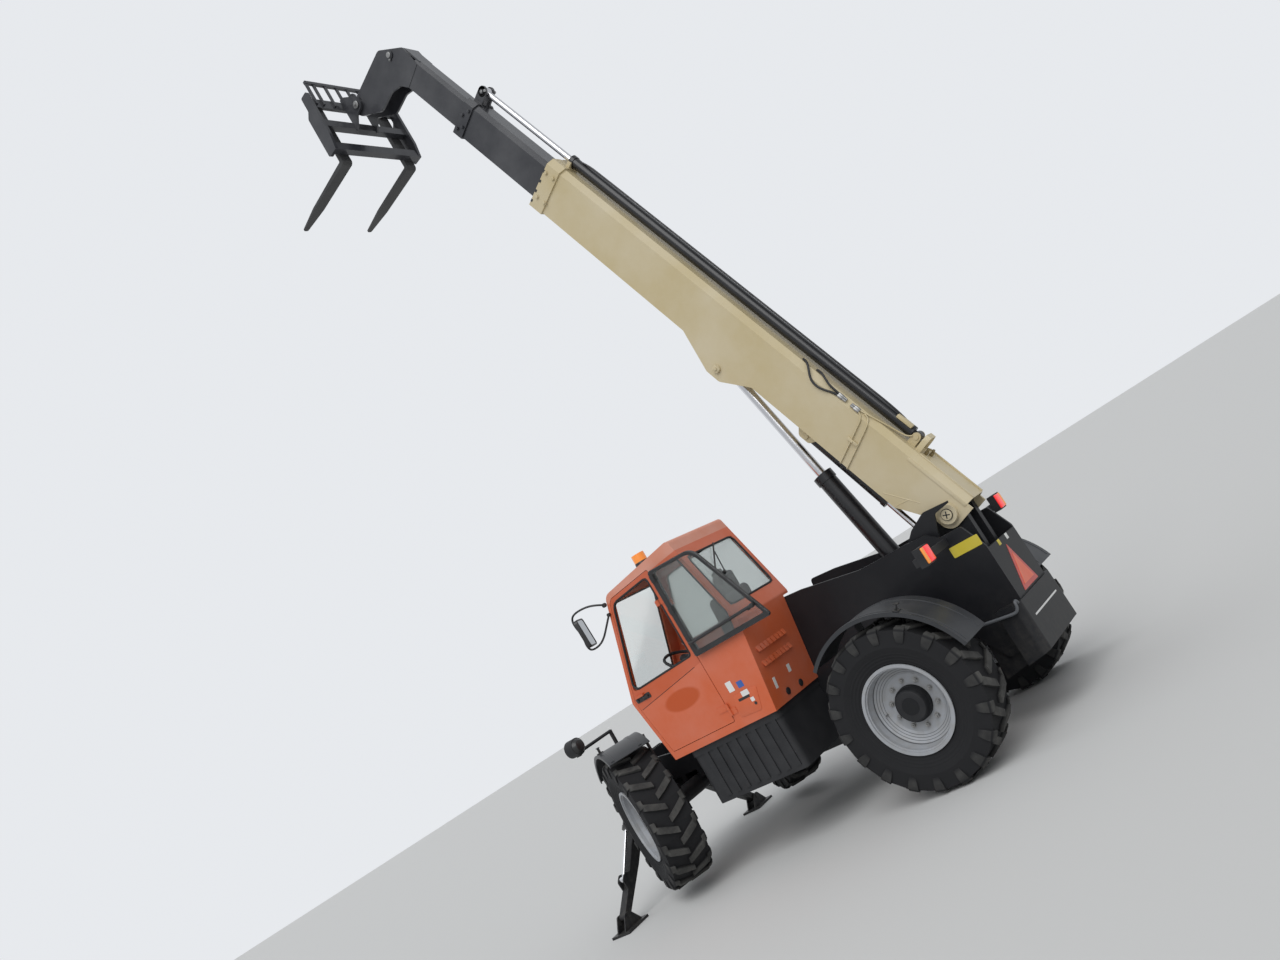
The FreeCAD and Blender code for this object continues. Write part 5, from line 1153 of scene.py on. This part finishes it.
class HANDLER_OT_tail_plates(bpy.types.Operator):
    """Adds the reflecting triangle, the blank plate, the bumper's strip and the pipe handle at the rear"""
    bl_idname = "handler.tail_plates"
    bl_label = "Tail Plates"

    def execute(self, context):
        for name, outline, lift, material in TRIANGLES:
            bm = bmesh.new()
            plate(bm, outline, rear_wall(REAR_PLATE_X) @ Matrix.Translation((0, 0, lift)), 0.003, 0.008)
            finish(name, bm, LEVEL, "chassis", material)
        bm = bmesh.new()
        plate(bm, on_left(rectangle(-0.701, 1.376, 0.244, 0.084)), side_wall(0.3497), 0.003, 0.008)
        finish("yellow plate", bm, LEVEL, "chassis", "yellow")
        bm = bmesh.new()
        plate(bm, rectangle(0.0, 0.712, 0.620, 0.013), rear_wall(BUMPER_X), 0.002, 0.003)
        finish("bumper strip", bm, LEVEL, "chassis", "white")
        pipes("tail handle", [TAIL_HANDLE], 0.012, LEVEL, "chassis", "grey_pipe")
        return {"FINISHED"}


FENDER_FACE = 0.724
FENDER_SPAN = {"front": (40.0, 122.0), "rear": (47.0, 160.0)}
FENDER_BRACKET = {"front": 92.0, "rear": 118.0}
FENDER_RIBS = (0.045, 0.325)
RIB_SECTION = ((-0.002, -0.022), (0.004, -0.014), (0.004, 0.014), (-0.002, 0.022))
BRACKET_BLOCKS = (
    # half length, near and far side of the fender, lowest and highest above its face, bevel
    (0.022, 0.300, 0.360, -0.002, 0.010, 0.003), (0.005, 0.318, 0.342, 0.008, 0.052, 0.002),
    (0.020, 0.314, 0.346, 0.048, 0.058, 0.003),
)


class HANDLER_OT_fender_ribs(bpy.types.Operator):
    """Adds the ribs and the upright bracket of each fender"""
    bl_idname = "handler.fender_ribs"
    bl_label = "Fender Ribs"

    def execute(self, context):
        for corner in CORNERS:
            axle = corner.split("_")[0]
            start, end = FENDER_SPAN[axle]
            place = wheel_frame(corner, "steer_")
            if place.col[1].y < 0:
                place = place @ Matrix.Diagonal((-1, 1, 1, 1))
            bm = bmesh.new()
            for y in FENDER_RIBS:
                face = bm.faces.new([bm.verts.new((FENDER_FACE + rise, y + dy, 0)) for rise, dy in RIB_SECTION])
                bmesh.ops.rotate(bm, cent=(0, 0, 0), matrix=Matrix.Rotation(math.radians(-start - 2), 3, "Y"),
                                 verts=face.verts)
                bmesh.ops.spin(
                    bm, geom=[face, *face.edges, *face.verts], cent=(0, 0, 0), axis=(0, 1, 0), dvec=(0, 0, 0),
                    angle=-math.radians(end - start - 4), steps=28, use_merge=False, use_duplicate=False)
            finish("fender ribs " + corner, bm, place, "steer_" + corner, "fender")
            bm = bmesh.new()
            turn = Matrix.Rotation(math.pi / 2 - math.radians(FENDER_BRACKET[axle]), 4, "Y")
            for half, near, far, low, high, bevel in BRACKET_BLOCKS:
                block(bm, (-half, near, FENDER_FACE + low), (half, far, FENDER_FACE + high), bevel, turn=turn)
            finish("fender bracket " + corner, bm, place, "steer_" + corner, "black")
        return {"FINISHED"}


HEAD_PINS = (
    # name, body, line, height and side of the cap, its radius, line, height and side of the bolt, its radius
    ("tilt pin caps", "tip", (7.200, 0.120, -0.025), 0.030, (7.165, 0.121, -0.060), 0.009),
    ("carriage pin caps", "carriage", (7.400, 0.148, -0.680), 0.040, (7.400, 0.160, -0.680), 0.012),
)


class HANDLER_OT_head_pins(bpy.types.Operator):
    """Adds the pin caps and bolts of the boom head and the fork carriage"""
    bl_idname = "handler.head_pins"
    bl_label = "Head Pins"

    def execute(self, context):
        for name, body, cap, cap_radius, screw, screw_radius in HEAD_PINS:
            bm = bmesh.new()
            for side in SIDES:
                to_side = Matrix.Diagonal((1, side, 1))
                drum(bm, to_side @ Vector(cap), ACROSS * side, cap_radius, 0.012, sides=28, bevel=0.003)
                bolt(bm, to_side @ Vector(screw), ACROSS * side, screw_radius)
            finish(name, bm, BOOM, body, "steel")
        return {"FINISHED"}


GRILLE_ROWS, GRILLE_SPANS = (1.06, 1.11, 1.16, 1.21, 1.26), ((0.98, 1.30), (1.48, 1.82))


class HANDLER_OT_hood_fittings(bpy.types.Operator):
    """Adds black strips as painted shade in the hood's grille slots, and the hood's latches"""
    bl_idname = "handler.hood_fittings"
    bl_label = "Hood Fittings"

    def execute(self, context):
        bm = bmesh.new()
        # Painted shade: the grille slots are black strips on the hood, standing in for the shade inside the openings.
        for z in GRILLE_ROWS:
            for start, end in GRILLE_SPANS:
                block(bm, (start, -1.0985, z), (end, -1.0935, z + 0.022), 0.002)
        finish("hood grille shade", bm, LEVEL, "hood", "black")
        bm = bmesh.new()
        for x in (1.10, 1.70):
            block(bm, (x - 0.03, -1.108, 0.975), (x + 0.03, -1.094, 1.020), 0.004)
        finish("hood latches", bm, LEVEL, "hood", "black")
        return {"FINISHED"}


CAMERA_PLACE = (-3.616, 7.325, 1.718)
CAMERA_YAW, CAMERA_RISE, CAMERA_ROLL = -53.956, 10.574, -32.526
FOCAL_PIXELS, FRAME_PIXELS, SENSOR = 965.18, 1280.0, 36.0
LAMPS = (
    # name, strength, direction, spread
    ("key lamp", 1.45, (0.35, -0.75, -0.80), 50.0), ("fill lamp", 0.3, (-0.9, 0.3, -0.55), 80.0),
)


class HANDLER_OT_stage(bpy.types.Operator):
    """Adds the floor, the lamps, the pale surround and the camera"""
    bl_idname = "handler.stage"
    bl_label = "Stage"

    def execute(self, context):
        self.floor()
        self.surround()
        self.lamps()
        self.camera()
        return {"FINISHED"}

    def floor(self):
        bm = bmesh.new()
        bmesh.ops.create_grid(bm, x_segments=1, y_segments=1, size=300.0)
        mesh = bpy.data.meshes.new("floor")
        bm.to_mesh(mesh)
        bm.free()
        material, tree, shader, _ = start_material("Pale floor", 0.9, specular=0.1)
        feed(tree, shader, Base_Color=(0.62, 0.62, 0.61, 1.0))
        mesh.materials.append(material)
        ground = add_object("floor", mesh)

    def surround(self):
        world = bpy.data.worlds.new("Studio surround")
        bpy.context.scene.world = world
        world.use_nodes = True
        tree = world.node_tree
        tree.nodes.clear()
        path = put(tree, "LightPath").outputs
        seen = calc(tree, "MAXIMUM", path["Is Camera Ray"], path["Is Transmission Ray"])
        soft = put(tree, "Background", Color=(0.93, 0.96, 1.0, 1.0), Strength=0.56)
        pale = put(tree, "Background", Color=(0.80, 0.82, 0.85, 1.0), Strength=1.0)
        mix = put(tree, "MixShader", i0=seen, i1=soft.outputs[0], i2=pale.outputs[0])
        put(tree, "OutputWorld", Surface=mix.outputs[0])

    def lamps(self):
        for name, strength, direction, spread in LAMPS:
            lamp = bpy.data.lights.new(name, "SUN")
            lamp.energy = strength
            lamp.angle = math.radians(spread)
            add_object(name, lamp).rotation_euler = Vector(direction).to_track_quat("-Z", "Y").to_euler()

    def camera(self):
        yaw, rise, roll = (math.radians(a) for a in (CAMERA_YAW, CAMERA_RISE, CAMERA_ROLL))
        look = Vector((math.cos(rise) * math.cos(yaw), math.cos(rise) * math.sin(yaw), math.sin(rise)))
        right = Vector((math.sin(yaw), -math.cos(yaw), 0.0))
        up = right.cross(look)
        tilted_right = right * math.cos(roll) + up * math.sin(roll)
        tilted_up = up * math.cos(roll) - right * math.sin(roll)
        data = bpy.data.cameras.new("photograph camera")
        data.sensor_width = SENSOR
        data.lens = SENSOR * FOCAL_PIXELS / FRAME_PIXELS
        data.clip_end = 1000.0
        camera = add_object("photograph camera", data)
        camera.matrix_world = axes(Vector(CAMERA_PLACE) + AHEAD * REAR_AXLE.x, tilted_right, tilted_up, -look)
        bpy.context.scene.camera = camera
        bpy.context.scene.view_settings.view_transform = "Standard"


OPERATORS = (
    HANDLER_OT_paint, HANDLER_OT_tread_ends, HANDLER_OT_wheel_nuts, HANDLER_OT_boom_bolts, HANDLER_OT_boom_pipes,
    HANDLER_OT_window_seals, HANDLER_OT_swung_window, HANDLER_OT_door_fittings, HANDLER_OT_cab_plates,
    HANDLER_OT_rear_wiper, HANDLER_OT_cab_inside, HANDLER_OT_lamps, HANDLER_OT_mirror, HANDLER_OT_tail_plates,
    HANDLER_OT_fender_ribs, HANDLER_OT_head_pins, HANDLER_OT_hood_fittings, HANDLER_OT_stage,
)


class HANDLER_PT_trim(bpy.types.Panel):
    """Lists the handler's sizes, colours and operators"""
    bl_idname = "HANDLER_PT_trim"
    bl_label = "Telescopic Handler"
    bl_space_type = "VIEW_3D"
    bl_region_type = "UI"
    bl_category = "Handler"

    def draw(self, context):
        layout = self.layout
        for settings in (context.scene.handler_colours, context.scene.handler_trim):
            for name in settings.__annotations__:
                layout.prop(settings, name)
        for operator in OPERATORS:
            layout.operator(operator.bl_idname)


CLASSES = (HandlerColours, HandlerTrim, *OPERATORS, HANDLER_PT_trim)


def register():
    for cls in CLASSES:
        bpy.utils.register_class(cls)
    bpy.types.Scene.handler_colours = bpy.props.PointerProperty(type=HandlerColours)
    bpy.types.Scene.handler_trim = bpy.props.PointerProperty(type=HandlerTrim)


def unregister():
    del bpy.types.Scene.handler_trim
    del bpy.types.Scene.handler_colours
    for cls in reversed(CLASSES):
        bpy.utils.unregister_class(cls)


def main():
    register()
    for operator in OPERATORS:
        group_name, call = operator.bl_idname.split(".")
        getattr(getattr(bpy.ops, group_name), call)()


if __name__ == "__main__":
    main()
